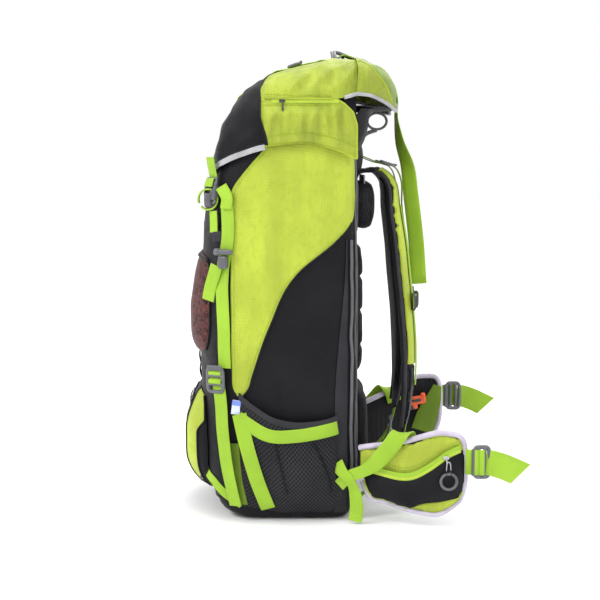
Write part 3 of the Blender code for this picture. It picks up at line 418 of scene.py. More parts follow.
MAT = {
    "green": ripstop("ripstop_green", GREEN),
    "green_lid": ripstop("ripstop_lid", shade(GREEN, 0.8), crumple=0.0034, folds=0.42, fold_scale=60.0),
    # The rear flap's ripstop, darker green as painted shade.
    "green_shaded": ripstop("ripstop_olive", GREEN_SHADED, crumple=0.003, folds=0.4, fold_scale=50.0),
    "green_edge": plain_cloth("piping_green", shade(GREEN, 0.75), weave_pitch=0.0007),
    "black": plain_cloth("pack_cloth_black", BLACK),
    "black_lid": plain_cloth("pack_cloth_lid", shade(BLACK, 0.8), roughness=0.48, crumple=0.0022),
    "lining": plain_cloth("lining_black", shade(BLACK, 0.8), roughness=0.7),
    "charcoal": plain_cloth("pack_cloth_charcoal", CHARCOAL, roughness=0.6),
    "net": net("pocket_net", shade(MESH_BLACK, 2.6), shade(MESH_BLACK, 0.35)),
    "air_net": net("padding_net", shade(MESH_BLACK, 1.4), shade(MESH_BLACK, 0.4), pitch=0.003,
                   coords="Object"),
    "wine": printed_stretch("printed_stretch", 0.75),
    "web": webbing("webbing_green", WEB_GREEN),
    # Green webbing darkened as painted shade, for webbing under the edge straps, between the bag and the
    # shoulder straps, and inside the left wing.
    "web_shaded": webbing("webbing_green_shaded", shade(WEB_GREEN, 0.45)),
    "web_black": webbing("webbing_black", CHARCOAL),
    "tape_grey": tape("piping_grey", GREY),
    "tape_dark": tape("binding_charcoal", CHARCOAL),
    "tape_black": tape("piping_black", shade(BLACK, 1.1)),
    "tape_silver": tape("tape_silver", SILVER),
    "tape_lilac": tape("binding_lilac", LILAC),
    "stitch_green": tape("thread_green", GREEN_DEEP, 0.0004),
    "plastic": plastic("hardware_grey", (0.085, 0.088, 0.098)),
    "plastic_dark": plastic("hardware_dark", (0.03, 0.03, 0.034)),
    "orange": plastic("hardware_orange", ORANGE, 0.35),
    "metal": metal("zip_metal", (0.62, 0.62, 0.64)),
    "cord": braid("cord_grey", (0.23, 0.23, 0.24)),
    "zip": zip_teeth("zip_chain", shade(BLACK, 1.2)),
    "zip_green": zip_teeth("zip_chain_green", GREEN_DEEP),
    "tab": plain_cloth("tab_blue", (0.16, 0.24, 0.62), roughness=0.5),
    "tab_pale": plain_cloth("tab_pale", (0.55, 0.6, 0.72), roughness=0.5),
}


# ------------------------------------------------------------------ mesh helpers

def smooth_at(xs, ys, x):
    """Smooth curve through rows of ys at xs, evaluated at x."""
    xs = np.asarray(xs, float)
    ys = np.asarray(ys, float)
    x = np.clip(np.asarray(x, float), xs[0], xs[-1])
    slope = np.gradient(ys, xs, axis=0)
    i = np.clip(np.searchsorted(xs, x, side="right") - 1, 0, len(xs) - 2)
    span = xs[i + 1] - xs[i]
    t = (x - xs[i]) / span
    if ys.ndim > 1:
        t = t[..., None]
        span = span[..., None]
    t2, t3 = t * t, t * t * t
    return ((2 * t3 - 3 * t2 + 1) * ys[i] + (t3 - 2 * t2 + t) * span * slope[i]
            + (3 * t2 - 2 * t3) * ys[i + 1] + (t3 - t2) * span * slope[i + 1])


def smooth_path(points, count, closed=False):
    """Evenly spaced points on a smooth curve through the given ones."""
    points = np.asarray(points, float)
    if closed:
        points = np.vstack([points[-2:], points, points[:3]])
    steps = np.r_[0.0, np.cumsum(np.sqrt(np.linalg.norm(np.diff(points, axis=0), axis=1)) + 1e-9)]
    dense = np.linspace(steps[2], steps[-3], 40 * count) if closed else np.linspace(0.0, steps[-1],
            40 * count)
    fine = smooth_at(steps, points, dense)
    arc = np.r_[0.0, np.cumsum(np.linalg.norm(np.diff(fine, axis=0), axis=1))]
    wanted = np.linspace(0.0, arc[-1], count + 1)[:-1] if closed else np.linspace(0.0, arc[-1], count)
    return np.stack([np.interp(wanted, arc, fine[:, k]) for k in range(3)], axis=1)


def unit(v):
    return v / np.maximum(np.linalg.norm(v, axis=-1, keepdims=True), 1e-12)


def smoothstep(low, high, x):
    t = np.clip((np.asarray(x, float) - low) / (high - low), 0.0, 1.0)
    return t * t * (3.0 - 2.0 * t)


def wave(x, y, z):
    """Smooth noise from -1 to 1."""
    return noise.noise(Vector((x, y, z)))


def signed_power(value, power):
    """A power that keeps the sign. Under 1 it squares off a circle."""
    return math.copysign(abs(value) ** power, value)


def round_angles(count):
    """Even angles once round."""
    return np.linspace(0, 2 * math.pi, count, endpoint=False)


def centre_of(node):
    """Middle of a CAD node's box."""
    low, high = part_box(node)
    return np.array((low + high) / 2)


def grid_normals(grid, wrap=False):
    """Unit normals of a grid of points, from its two directions."""
    if wrap:
        across = np.roll(grid, -1, axis=1) - np.roll(grid, 1, axis=1)
    else:
        across = np.gradient(grid, axis=1)
    return unit(np.cross(across, np.gradient(grid, axis=0)))


def link(name, mesh, material, body):
    """Puts a finished mesh in the scene as a piece that rides on a body. body is None for one that rides on
    none.
    """
    piece = bpy.data.objects.new(name, mesh)
    bpy.context.scene.collection.objects.link(piece)
    mesh.materials.clear()
    mesh.materials.append(MAT[material])
    mesh.polygons.foreach_set("use_smooth", [True] * len(mesh.polygons))
    mesh.set_sharp_from_angle(angle=math.radians(SMOOTH_ANGLE))
    if body is not None:
        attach(piece, body)
    return piece


def spread(values, count):
    """A value, or a few values along a strap, as one for each point."""
    values = np.atleast_1d(np.asarray(values, float))
    return np.interp(np.linspace(0, 1, count), np.linspace(0, 1, len(values)), values)


def lengths_along(path):
    """Distance from the start at each point."""
    return np.r_[0.0, np.cumsum(np.linalg.norm(np.diff(path, axis=0), axis=1))]


WEB_SHAPE = [(-1.0, -0.35), (-0.94, -1.0), (-0.45, -1.0), (0.45, -1.0), (0.94, -1.0), (1.0, -0.35),
             (1.0, 0.35), (0.94, 1.0), (0.45, 1.0), (-0.45, 1.0), (-0.94, 1.0), (-1.0, 0.35)]


class Parts:
    """Closed shells gathered into the mesh of one piece."""

    def __init__(self):
        self.points = []
        self.faces = []
        self.uvs = []

    def add(self, points, faces, uvs):
        """Adds a closed shell, facing outwards."""
        points = np.asarray(points, float).reshape(-1, 3)
        centre = points.mean(axis=0)
        volume = 0.0
        for face in faces:
            a = points[face[0]] - centre
            for k in range(1, len(face) - 1):
                volume += np.dot(a, np.cross(points[face[k]] - centre, points[face[k + 1]] - centre))
        start = len(self.points)
        order = slice(None) if volume > 0 else slice(None, None, -1)
        self.faces += [tuple(start + i for i in face[order]) for face in faces]
        self.points += list(points)
        self.uvs += [tuple(uv) for uv in uvs]
        return self

    def piece(self, name, material, body, *nodes):
        """The finished piece. nodes are the CAD nodes it replaces."""
        mesh = bpy.data.meshes.new(name)
        mesh.from_pydata([tuple(p) for p in self.points], [], self.faces)
        layer = mesh.uv_layers.new(name="cloth")
        corners = np.zeros(len(mesh.loops), np.int64)
        mesh.loops.foreach_get("vertex_index", corners)
        layer.data.foreach_set("uv", np.asarray(self.uvs, float)[corners].ravel())
        mesh.update()
        made = link(name, mesh, material, body)
        if nodes:
            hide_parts(*nodes)
        return made

    def sheet(self, grid, thickness=CLOTH, wrap=False, inside=None, cap=False):
        """Cloth whose outer face is a grid of points. inside is a point behind that face. cap closes the
        last row of a wrapped grid with a flat end."""
        grid = np.asarray(grid, float)
        rows, columns = grid.shape[:2]
        normals = grid_normals(grid, wrap)
        behind = grid.mean(axis=(0, 1)) if inside is None else np.asarray(inside)
        if np.sum(normals * (grid - behind)) < 0:
            normals = -normals
        back = grid - normals * thickness
        along = np.zeros((rows, columns))
        along[1:] = np.cumsum(np.linalg.norm(np.diff(grid, axis=0), axis=2), axis=0)
        along -= along[-1:] / 2
        across = np.zeros((rows, columns))
        across[:, 1:] = np.cumsum(np.linalg.norm(np.diff(grid, axis=1), axis=2), axis=1)
        across -= across[:, -1:] / 2
        uv = np.stack([across, along], axis=-1).reshape(-1, 2)
        half = rows * columns
        faces = []
        spans = columns if wrap else columns - 1
        for c in range(spans):
            n = (c + 1) % columns
            for r in range(rows - 1):
                a, b, d, e = r * columns + c, r * columns + n, (r + 1) * columns + n, (r + 1) * columns + c
                faces.append((a, b, d, e))
                faces.append((half + e, half + d, half + b, half + a))
            faces.append((n, c, half + c, half + n))
            last = (rows - 1) * columns
            if not cap:
                faces.append((last + c, last + n, half + last + n, half + last + c))
        if cap:
            faces.append(tuple(last + c for c in range(columns)))
            faces.append(tuple(half + last + c for c in range(columns))[::-1])
        if not wrap:
            for r in range(rows - 1):
                a, b = r * columns, (r + 1) * columns
                faces.append((a, b, half + b, half + a))
                a, b = a + columns - 1, b + columns - 1
                faces.append((b, a, half + a, half + b))
        return self.add(np.vstack([grid.reshape(-1, 3), back.reshape(-1, 3)]), faces, np.vstack([uv, uv]))

    def strap(self, points, across, width, thickness=WEB, count=60, hem=0.0, keep=False, slant=0.0):
        """Webbing along a smooth path. across has one direction, or one for each given point. hem is the
        length of a folded and sewn end, and slant the angle it is cut at. With keep, the points are used
        as they are."""
        path = np.asarray(points, float) if keep else smooth_path(points, count)
        count = len(path)
        across = np.asarray(across, float)
        if across.ndim == 1:
            across = np.tile(across, (count, 1))
        elif len(across) != count:
            across = np.stack([spread(across[:, k], count) for k in range(3)], axis=1)
        along = unit(np.gradient(path, axis=0))
        side = unit(across - along * np.sum(across * along, axis=1, keepdims=True))
        out = np.cross(along, side)
        half_w = spread(width, count) / 2
        half_t = spread(thickness, count) / 2
        arc = lengths_along(path)
        if hem > 0.0:
            half_t = half_t * np.where(arc > arc[-1] - hem, 1.8, 1.0)
        shear = math.tan(slant) * smoothstep(arc[-1] - 0.05, arc[-1], arc)
        points = []
        uvs = []
        for p, t, s, o, w, h, v, k in zip(path, along, side, out, half_w, half_t, arc, shear):
            for a, b in WEB_SHAPE:
                points.append(p + s * a * w + o * b * h + t * k * a * w)
                uvs.append((a * w, v))
        size = len(WEB_SHAPE)
        return self.add(points, loft_faces(count, size), uvs)

    def tube(self, points, radius, count=60, closed=False, sides=8, keep=False, flat=1.0,
             guide=(0.0, 0.0, 1.0)):
        """Round cord or piping along a smooth path. radius may have a few values along it. flat squeezes
        it across the guide direction."""
        path = np.asarray(points, float) if keep else smooth_path(points, count, closed)
        count = len(path)
        if closed:
            along = unit(np.roll(path, -1, axis=0) - np.roll(path, 1, axis=0))
        else:
            along = unit(np.gradient(path, axis=0))
        radii = spread(radius, count)
        arc = lengths_along(path)
        guide = np.asarray(guide, float)
        if abs(np.dot(along[0], guide)) > 0.95:
            guide = guide[[1, 2, 0]]
        normal = unit(np.cross(along[0], guide))
        points = []
        uvs = []
        for p, t, r, v in zip(path, along, radii, arc):
            normal = unit(normal - t * np.dot(normal, t))
            other = np.cross(t, normal)
            for k in range(sides):
                angle = 2 * math.pi * k / sides
                points.append(p + normal * math.cos(angle) * r * flat + other * math.sin(angle) * r)
                uvs.append((angle * r, v))
        return self.add(points, loft_faces(count, sides, closed), uvs)

    def stitches(self, path, pitch=0.0042, radius=0.00045):
        """Thread stitches along a path, each a small closed bead."""
        path = np.asarray(path, float)
        arc = lengths_along(path)
        total = max(2, int(arc[-1] / pitch))
        for i in range(total):
            middle = (i + 0.5) * arc[-1] / total
            spots = [middle + STITCH * k for k in (-0.5, -0.3, 0.3, 0.5)]
            line = np.array([[np.interp(d, arc, path[:, k]) for k in range(3)] for d in spots])
            self.tube(line, (radius * 0.4, radius, radius, radius * 0.4), sides=4, keep=True)
        return self

    def box(self, centre, axes, size, radius):
        """Block with rounded edges. axes are its three unit directions, size its three whole lengths."""
        axes = np.asarray(axes, float)
        half = np.asarray(size, float) / 2
        radius = min(radius, half.min() * 0.98)
        steps = np.unique(np.r_[-1.0, np.cos(np.linspace(math.pi, 0.0, BOX_STEPS)), 1.0])
        index = {}
        points = []
        faces = []
        uvs = []
        for axis in range(3):
            for sign in (-1.0, 1.0):
                grid = []
                for a in steps:
                    row = []
                    for b in steps:
                        p = np.zeros(3)
                        p[axis] = sign
                        p[(axis + 1) % 3] = a
                        p[(axis + 2) % 3] = b
                        key = tuple(np.round(p, 5))
                        if key not in index:
                            index[key] = len(points)
                            full = p * half
                            inner = np.clip(full, -(half - radius), half - radius)
                            full = inner + unit(full - inner) * radius if np.any(full != inner) else full
                            points.append(np.asarray(centre) + full @ axes)
                            uvs.append((full[0], full[1]))
                        row.append(index[key])
                    grid.append(row)
                for i in range(len(steps) - 1):
                    for j in range(len(steps) - 1):
                        face = (grid[i][j], grid[i + 1][j], grid[i + 1][j + 1], grid[i][j + 1])
                        faces.append(face if sign > 0 else face[::-1])
        return self.add(points, faces, uvs)

    def rings(self, loops):
        """Closed form through rows of points round it, with a flat end at each end."""
        loops = np.asarray(loops, float)
        count, size = loops.shape[:2]
        centres = loops.mean(axis=1)
        arc = lengths_along(centres)
        uvs = []
        for loop, v in zip(loops, arc):
            round_it = lengths_along(loop)
            uvs += [(u - round_it[-1] / 2, v) for u in round_it]
        return self.add(loops, loft_faces(count, size), uvs)


def loft_faces(count, size, closed=False):
    """Quads between rows of points, with an end face at each end unless the rows close."""
    faces = []
    for i in range(count if closed else count - 1):
        j = (i + 1) % count
        for k in range(size):
            n = (k + 1) % size
            faces.append((i * size + k, i * size + n, j * size + n, j * size + k))
    if not closed:
        faces.append(tuple(range(size))[::-1])
        faces.append(tuple(range((count - 1) * size, count * size)))
    return faces


def piping(line, radius, name, material, body):
    """Thin round seam cord along the given points."""
    return Parts().tube(line, radius, keep=True, sides=6).piece(name, material, body)


def laid_web(line, across, width, thickness, name, material, body, *nodes):
    """Webbing, tape or a zip along the given points."""
    return Parts().strap(line, across, width, thickness, keep=True).piece(name, material, body, *nodes)


def bag_cloth(grid, thickness, name, material, *nodes):
    """Cloth that lies on the bag."""
    return Parts().sheet(grid, thickness, inside=BAG_CORE).piece(name, material, "bag", *nodes)


def lid_cloth(grid, name, material, *nodes):
    """Cloth that makes the lid."""
    return Parts().sheet(grid, LID_CLOTH, inside=LID_CORE).piece(name, material, "lid", *nodes)


# ------------------------------------------------------------------ bag surface

def bag_relief(p):
    """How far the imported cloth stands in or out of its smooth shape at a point."""
    x, y, z = p
    soft = 0.0016 * wave(x * 13, y * 13, z * 11)
    fine = 0.001 * wave(x * 42, y * 42, z * 34)
    gathered = smoothstep(0.45, 0.52, z) * smoothstep(-0.02, -0.055, y)
    folds = 0.0024 * (1.0 - 2.0 * abs(wave(x * 55, y * 55, z * 9)))
    low = smoothstep(0.46, 0.2, z) * smoothstep(0.02, 0.1, y)
    drag = 0.0012 * wave(x * 20, y * 26 + z * 16, z * 10)
    return float(soft + fine + gathered * folds + low * drag)


class Bag:
    """The bag's outside. Each height has a closed plan outline, evenly spaced, from the front centre
    round the right side, the back and the left side."""

    COUNT = 240
    STEP = 0.005

    def __init__(self):
        self.rows = [self.outline(z) for z in np.arange(0.0, 0.6001, self.STEP)]

    def outline(self, z):
        _, half, corner, centre = smooth_at(BAG_LEVELS[:, 0], BAG_LEVELS, z)
        keys = [(0.0, centre), (half * 0.55, centre + 0.004), (half - 0.018, corner),
                (half - 0.003, corner + 0.022),
                (half + 0.003, (corner + BACK_Y) / 2), (half, 0.095), (half - 0.008, 0.117),
                (half - 0.03, BACK_Y),
                (half * 0.5, BACK_Y), (0.0, BACK_Y)]
        left = [(-x, y) for x, y in keys[-2:0:-1]]
        return smooth_path([(x, y, 0.0) for x, y in keys + left], self.COUNT, closed=True)[:, :2]

    def ring(self, z):
        k = min(max(z / self.STEP, 0.0), len(self.rows) - 1.001)
        share = k - int(k)
        return self.rows[int(k)] * (1 - share) + self.rows[int(k) + 1] * share

    def place(self, ring, s, z, out, side=1.0):
        i = int(min(s, self.COUNT - 1))
        share = s - i
        a, b = ring[i], ring[(i + 1) % self.COUNT]
        before, after = ring[i - 1], ring[(i + 2) % self.COUNT]
        tangent = unit((1 - share) * (b - before) + share * (after - a))
        x, y = a * (1 - share) + b * share
        base = np.array([x * side, y, z])
        normal = np.array([tangent[1] * side, -tangent[0], 0.0])
        return base + normal * (out + bag_relief(base))

    def many(self, kind, across, z, out, side):
        across, z, out = np.broadcast_arrays(np.asarray(across, float), np.asarray(z, float),
                np.asarray(out, float))
        found = []
        middle = self.COUNT // 2 + 1
        for a, h, o in zip(across.ravel(), z.ravel(), out.ravel()):
            ring = self.ring(h)
            half = ring[:middle]
            if kind == "side":
                last = int(np.argmax(half[:, 1] > BACK_Y - 0.0004))
                s, turn = np.interp(a, half[:last, 1], np.arange(last)), side
            elif kind == "front":
                last = int(np.argmax(half[:, 0]))
                s, turn = np.interp(abs(a), half[:last, 0], np.arange(last)), 1.0 if a >= 0 else -1.0
            else:
                first = int(np.argmax(half[:, 0]))
                s, turn = np.interp(-abs(a), -half[first:, 0],
                                    np.arange(first, middle)), 1.0 if a >= 0 else -1.0
            found.append(self.place(ring, s, h, o, turn))
        return np.array(found).reshape(across.shape + (3,))

    def side(self, y, z, out=0.0, side=1.0):
        """Points on the right (side 1) or left (side -1) at given Y and height, out from the cloth."""
        return self.many("side", y, z, out, side)

    def front(self, x, z, out=0.0):
        return self.many("front", x, z, out, 1.0)

    def back(self, x, z, out=0.0):
        return self.many("back", x, z, out, 1.0)


BAG = Bag()
BAG_CORE = np.array([0.0, 0.02, 0.3])


# ------------------------------------------------------------------ lid surface

ARCH_S = np.array([0.0, 0.22, 0.44, 0.6, 0.74, 0.87, 1.0])
ARCH_X = np.array([0.0, 0.36, 0.7, 0.89, 0.975, 1.0, 1.0])
ARCH_H = np.array([1.0, 0.99, 0.94, 0.8, 0.58, 0.3, 0.0])
MIRROR_S = np.r_[-ARCH_S[:0:-1], ARCH_S]
MIRROR_X = np.r_[-ARCH_X[:0:-1], ARCH_X]
MIRROR_H = np.r_[ARCH_H[:0:-1], ARCH_H]


def lid_relief(p):
    """Crumples, puckers and seam valleys of the lid cloth."""
    x, y, z = p
    soft = 0.0026 * wave(x * 12, y * 14, z * 14) + 0.0014 * wave(x * 34, y * 36, z * 34)
    skirt = 1.25 * smoothstep(0.616, 0.6, z) * smoothstep(-0.012, 0.004, y) * smoothstep(0.13, 0.11, y)
    pucker = 0.013 * (0.5 - abs(wave(x * 8, y * 46, z * 9 + 3.0))) * smoothstep(0.552, 0.585, z)
    lean = 0.0095 * (0.4 - abs(wave(x * 10, y * 30 - z * 22, z * 14)))
    crown = smoothstep(0.62, 0.64, z)
    front = smoothstep(-0.012, -0.03, y)
    crease = 0.007 * (0.4 - abs(wave(x * 16 + z * 9, y * 20, z * 24)))
    seam = -0.0016 * math.exp(-((y - LID_SEAM_Y) / 0.0026) ** 2)
    return float(soft + skirt * pucker + crown * lean + front * crease + seam)


class Lid:
    """The lid's outside, a row of arches. t runs back along the crown in metres. s runs from -1 at the
    left hem over 0 at the crown to 1 at the right hem."""

    def __init__(self, arches):
        self.arches = np.array(arches)
        self.t = lengths_along(self.arches[:, :2])
        self.end = self.t[-1]

    def smooth_point(self, t, s):
        t, s = np.broadcast_arrays(np.asarray(t, float), np.asarray(s, float))
        y, crown, half, hem = np.moveaxis(smooth_at(self.t, self.arches, t), -1, 0)
        x = half * smooth_at(MIRROR_S, MIRROR_X, s)
        z = hem + (crown - hem) * smooth_at(MIRROR_S, MIRROR_H, s)
        return np.stack([x, y, z], axis=-1)

    def place(self, t, s, out=0.0):
        t, s, out = np.broadcast_arrays(np.asarray(t, float), np.asarray(s, float), np.asarray(out, float))
        base = self.smooth_point(t, s)
        step = 0.004
        along = self.smooth_point(np.minimum(t + step, self.end),
                                  s) - self.smooth_point(np.maximum(t - step, 0), s)
        across = self.smooth_point(t, np.minimum(s + 0.03, 1)) - self.smooth_point(t,
                np.maximum(s - 0.03, -1))
        normal = unit(np.cross(across, along))
        relief = np.array([lid_relief(p) for p in base.reshape(-1, 3)]).reshape(t.shape)
        return base + normal * (out + relief)[..., None]

    def t_at(self, y):
        return np.interp(y, self.arches[:, 0], self.t)

    def s_at(self, t, z):
        """Right-hand s of a height."""
        _, crown, _, hem = np.moveaxis(smooth_at(self.t, self.arches, t), -1, 0)
        share = np.clip((z - hem) / (crown - hem), 0.0, 1.0)
        return np.interp(-share, -ARCH_H, ARCH_S)

    def side(self, y, z, out=0.0, side=1.0):
        t = self.t_at(y)
        return self.place(t, side * self.s_at(t, z), out)


LID = Lid(LID_ARCHES)
LID_REAR = Lid(REAR_ARCHES)
LID_CORE = np.array([0.0, 0.03, 0.58])


# ------------------------------------------------------------------ bag shell

def lerp(a, b, share):
    return a + (b - a) * share


def side_run(start, end, count, heights, ys):
    """Y and height of points down a smooth line on the bag's side."""
    z = np.linspace(start, end, count)
    return smooth_at(heights, ys, z), z


def build_shell():
    """Black packed cloth from the tray to the collar, all the way round."""
    heights = np.linspace(RIM_Z - 0.002, SHELL_TOP, 116)
    grid = []
    for z in heights:
        ring = BAG.ring(z)
        grid.append([BAG.place(ring, i, z, 0.0) for i in range(BAG.COUNT)])
    Parts().sheet(grid, 0.0018, wrap=True, inside=BAG_CORE).piece("bag_shell", "black", "bag",
            "front_panel", "side_panel_right", "side_panel_left", "back_panel")


def build_tray():
    """Bottom of the bag: the cloth turns under, and lifts towards the front."""
    ring = BAG.ring(0.03)
    centre = np.array([0.0, 0.022])
    steps = [(BELT_WEB, 0.0008), (0.03, 0.0), (0.022, 0.002), (0.014, 0.004), (0.007, 0.008),
             (0.0025, 0.014),
             (0.0005, 0.022), (0.0, 0.04), (0.0005, 0.065), (0.001, 0.085)]
    grid = []
    for z, inset in steps:
        row = []
        for x, y in ring:
            inward = unit(centre - np.array([x, y]))
            px, py = np.array([x, y]) + inward * inset
            rise = max(0.0, -0.02 - py)
            lift = 4.5 * rise * rise
            level = min(z + lift * smoothstep(0.034, 0.012, z), 0.037 - 0.25 * (BELT_WEB - z))
            ripple_out = 0.0008 * wave(px * 30, py * 30, z * 30)
            row.append((px, py, max(z, level) + max(0.0, ripple_out)))
        grid.append(row)
    Parts().sheet(grid, 0.002, wrap=True, inside=(0, 0.02, 0.05), cap=True).piece("base_tray", "black",
            "bag", "base_panel")
    edge = np.array(grid[0])
    parts = Parts().tube(edge[::2] - (0, 0, 0.0005), 0.0016, closed=True, keep=True, sides=6)
    parts.piece("base_piping", "tape_dark", "bag")


def build_collar():
    """Gathered collar with its drawcord and cord lock."""
    count = 480
    ring = BAG.ring(WALL_TOP)
    grid = []
    for z in np.linspace(0.532, 0.5985, 26):
        rise = (z - 0.532) / 0.0665
        row = []
        for k in range(count):
            i, share = k // 2, (k % 2) / 2
            x, y = lerp(ring[i], ring[(i + 1) % BAG.COUNT], share)
            inward = unit(np.array([-x, 0.022 - y]))
            angle = 2 * math.pi * k / count
            gather = math.sin(58 * angle + 2.2 * math.sin(7 * angle)) * (0.0004 + 0.0016 * rise ** 2)
            inset = 0.0048 + 0.007 * rise + gather
            px, py = np.array([x, y]) + inward * inset
            lean = 0.35 * (z - 0.535) * smoothstep(0.02, -0.06, y)
            row.append((px, py + lean, z))
        grid.append(row)
    collar = Parts().sheet(grid, 0.0011, wrap=True, inside=(0, 0.022, 0.56))
    collar.piece("collar_cloth", "lining", "bag", "collar")
    rim = np.array(grid[-1]) + (0.0, 0.0, 0.0012)
    cord = Parts().tube(rim[::4], 0.0019, closed=True, keep=True)
    front = rim[0]
    for side in (-1, 1):
        tail = [front + (0.004 * side, 0.0, 0.0), front + (0.004 * side, -0.006, -0.004),
                front + (0.006 * side, -0.007, -0.02), front + (0.008 * side, -0.006, -0.036)]
        cord.tube(tail, (0.0016, 0.0016, 0.0016, 0.0024), count=14)
    cord.piece("collar_drawcord", "cord", "bag", "collar_cord")
    low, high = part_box("cord_lock_body")
    build_cord_lock(low, high)


def lathe(centre, profile, sides=20):
    """Rows of points for a round form along Z. profile holds (height, radius)."""
    return [[(centre[0] + r * math.cos(a), centre[1] + r * math.sin(a), centre[2] + z)
             for a in round_angles(sides)] for z, r in profile]


def build_cord_lock(low, high):
    """Barrel cord lock with a sprung button."""
    centre = (low + high) / 2
    tall = high.z - low.z
    wide = min(high.x - low.x, high.y - low.y) / 2
    profile = [(-0.5, 0.55), (-0.48, 0.8), (-0.42, 0.95), (-0.2, 1.0), (0.2, 1.0), (0.42, 0.96),
               (0.48, 0.84), (0.5, 0.7)]
    barrel = Parts().rings(lathe(centre, [(z * tall, r * wide) for z, r in profile]))
    barrel.piece("cord_lock_barrel", "plastic", "bag", "cord_lock_body")
    low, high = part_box("cord_lock_button")
    centre = (low + high) / 2
    tall = high.z - low.z
    wide = min(high.x - low.x, high.y - low.y) / 2
    profile = [(-0.5, 0.8), (0.1, 0.8), (0.2, 0.98), (0.4, 1.0), (0.48, 0.86), (0.5, 0.6)]
    button = Parts().rings(lathe(centre, [(z * tall, r * wide) for z, r in profile]))
    button.piece("cord_lock_plunger", "plastic_dark", "cord_button", "cord_lock_button")


# Front and lower rear edges of the bright side panel: height, Y.
SIDE_FRONT_EDGE = [(0.19, -0.047), (0.2, -0.052), (0.23, -0.0545), (0.3, -0.0555), (0.4, -0.0555),
                   (0.48, -0.055), (0.493, -0.0535), (0.506, -0.045), (0.53, -0.026), (0.553, -0.007),
                   (0.565, -0.002)]
SIDE_REAR_EDGE = [(0.19, -0.04), (0.2, -0.032), (0.22, -0.0255), (0.293, 0.0), (0.374, 0.044),
                  (0.418, 0.097), (0.437, 0.114), (0.452, 0.1215), (0.5, 0.1235), (0.565, 0.123)]


def table_at(table, place):
    """Smooth second column of a table, at a value of its first."""
    table = np.array(table)
    return smooth_at(table[:, 0], table[:, 1], place)


def build_side_panels():
    """Bright ripstop side panels, their seams, and the rear pipings."""
    for word, side in SIDES:
        heights = np.linspace(0.191, SHELL_TOP, 154)
        front = table_at(SIDE_FRONT_EDGE, heights)
        rear = table_at(SIDE_REAR_EDGE, heights)
        share = np.linspace(0.0, 1.0, 84)
        y = front[:, None] + (rear - front)[:, None] * share
        z = np.repeat(heights[:, None], len(share), axis=1)
        full = np.sin(np.pi * share)[None, :] * 0.0012
        grid = BAG.side(y, z, 0.0013 + full, side)
        bag_cloth(grid, PACK_CLOTH, "side_ripstop_" + word, "green")
        low = np.linspace(0.191, 0.445, 90)
        seam = BAG.side(table_at(SIDE_REAR_EDGE, low), low, 0.0014, side)
        piping(seam, 0.0013, "side_seam_" + word, "tape_black", "bag")
        up = np.linspace(0.197, 0.548, 110)
        seam = BAG.side(table_at(SIDE_FRONT_EDGE, up), up, 0.001, side)
        piping(seam, 0.0009, "side_front_seam_" + word, "green_edge", "bag")
        rows = Parts()
        rows.stitches(BAG.side(table_at(SIDE_REAR_EDGE, low) - 0.0045, low, 0.0022, side))
        rows.stitches(BAG.side(table_at(SIDE_FRONT_EDGE, up) + 0.004, up, 0.0018, side))
        rows.piece("side_stitching_" + word, "stitch_green", "bag")
        z = np.linspace(0.045, 0.42, 80)
        Parts().tube(BAG.side(0.1185, z, 0.002, side), 0.0024, keep=True).piece("rear_piping_" + word,
                "tape_grey", "bag")
        z = np.linspace(0.045, 0.54, 90)
        Parts().tube(BAG.back(side * 0.1225, z, 0.0018), 0.0018, keep=True).piece("back_piping_" + word,
                "tape_grey", "bag")


POCKET_Y = np.array([-0.046, -0.03, 0.0, 0.035, 0.07, 0.092, 0.101])
POCKET_DEEP = np.array([0.0, 0.45, 0.85, 1.0, 0.8, 0.38, 0.0])
POCKET_TOP = np.array([0.196, 0.184, 0.164, 0.155, 0.156, 0.161, 0.164])
POCKET_DEPTH = 0.0145
POCKET_FLOOR = 0.008


def pocket_out(y, z):
    """How far the side pocket stands off the bag."""
    deep = np.interp(y, POCKET_Y, POCKET_DEEP)
    swell = smoothstep(0.004, 0.075, z)
    folds = np.array([wave(a * 30, h * 12, 5.0) for a, h in zip(y.ravel(), z.ravel())])
    tuck = np.interp(z, (0.006, 0.014, 0.022, 0.03), (0.0075, 0.0038, 0.0018, 0.0))
    return 0.0016 - tuck + POCKET_DEPTH * np.sqrt(deep) * swell * (1 + 0.1 * folds.reshape(y.shape))


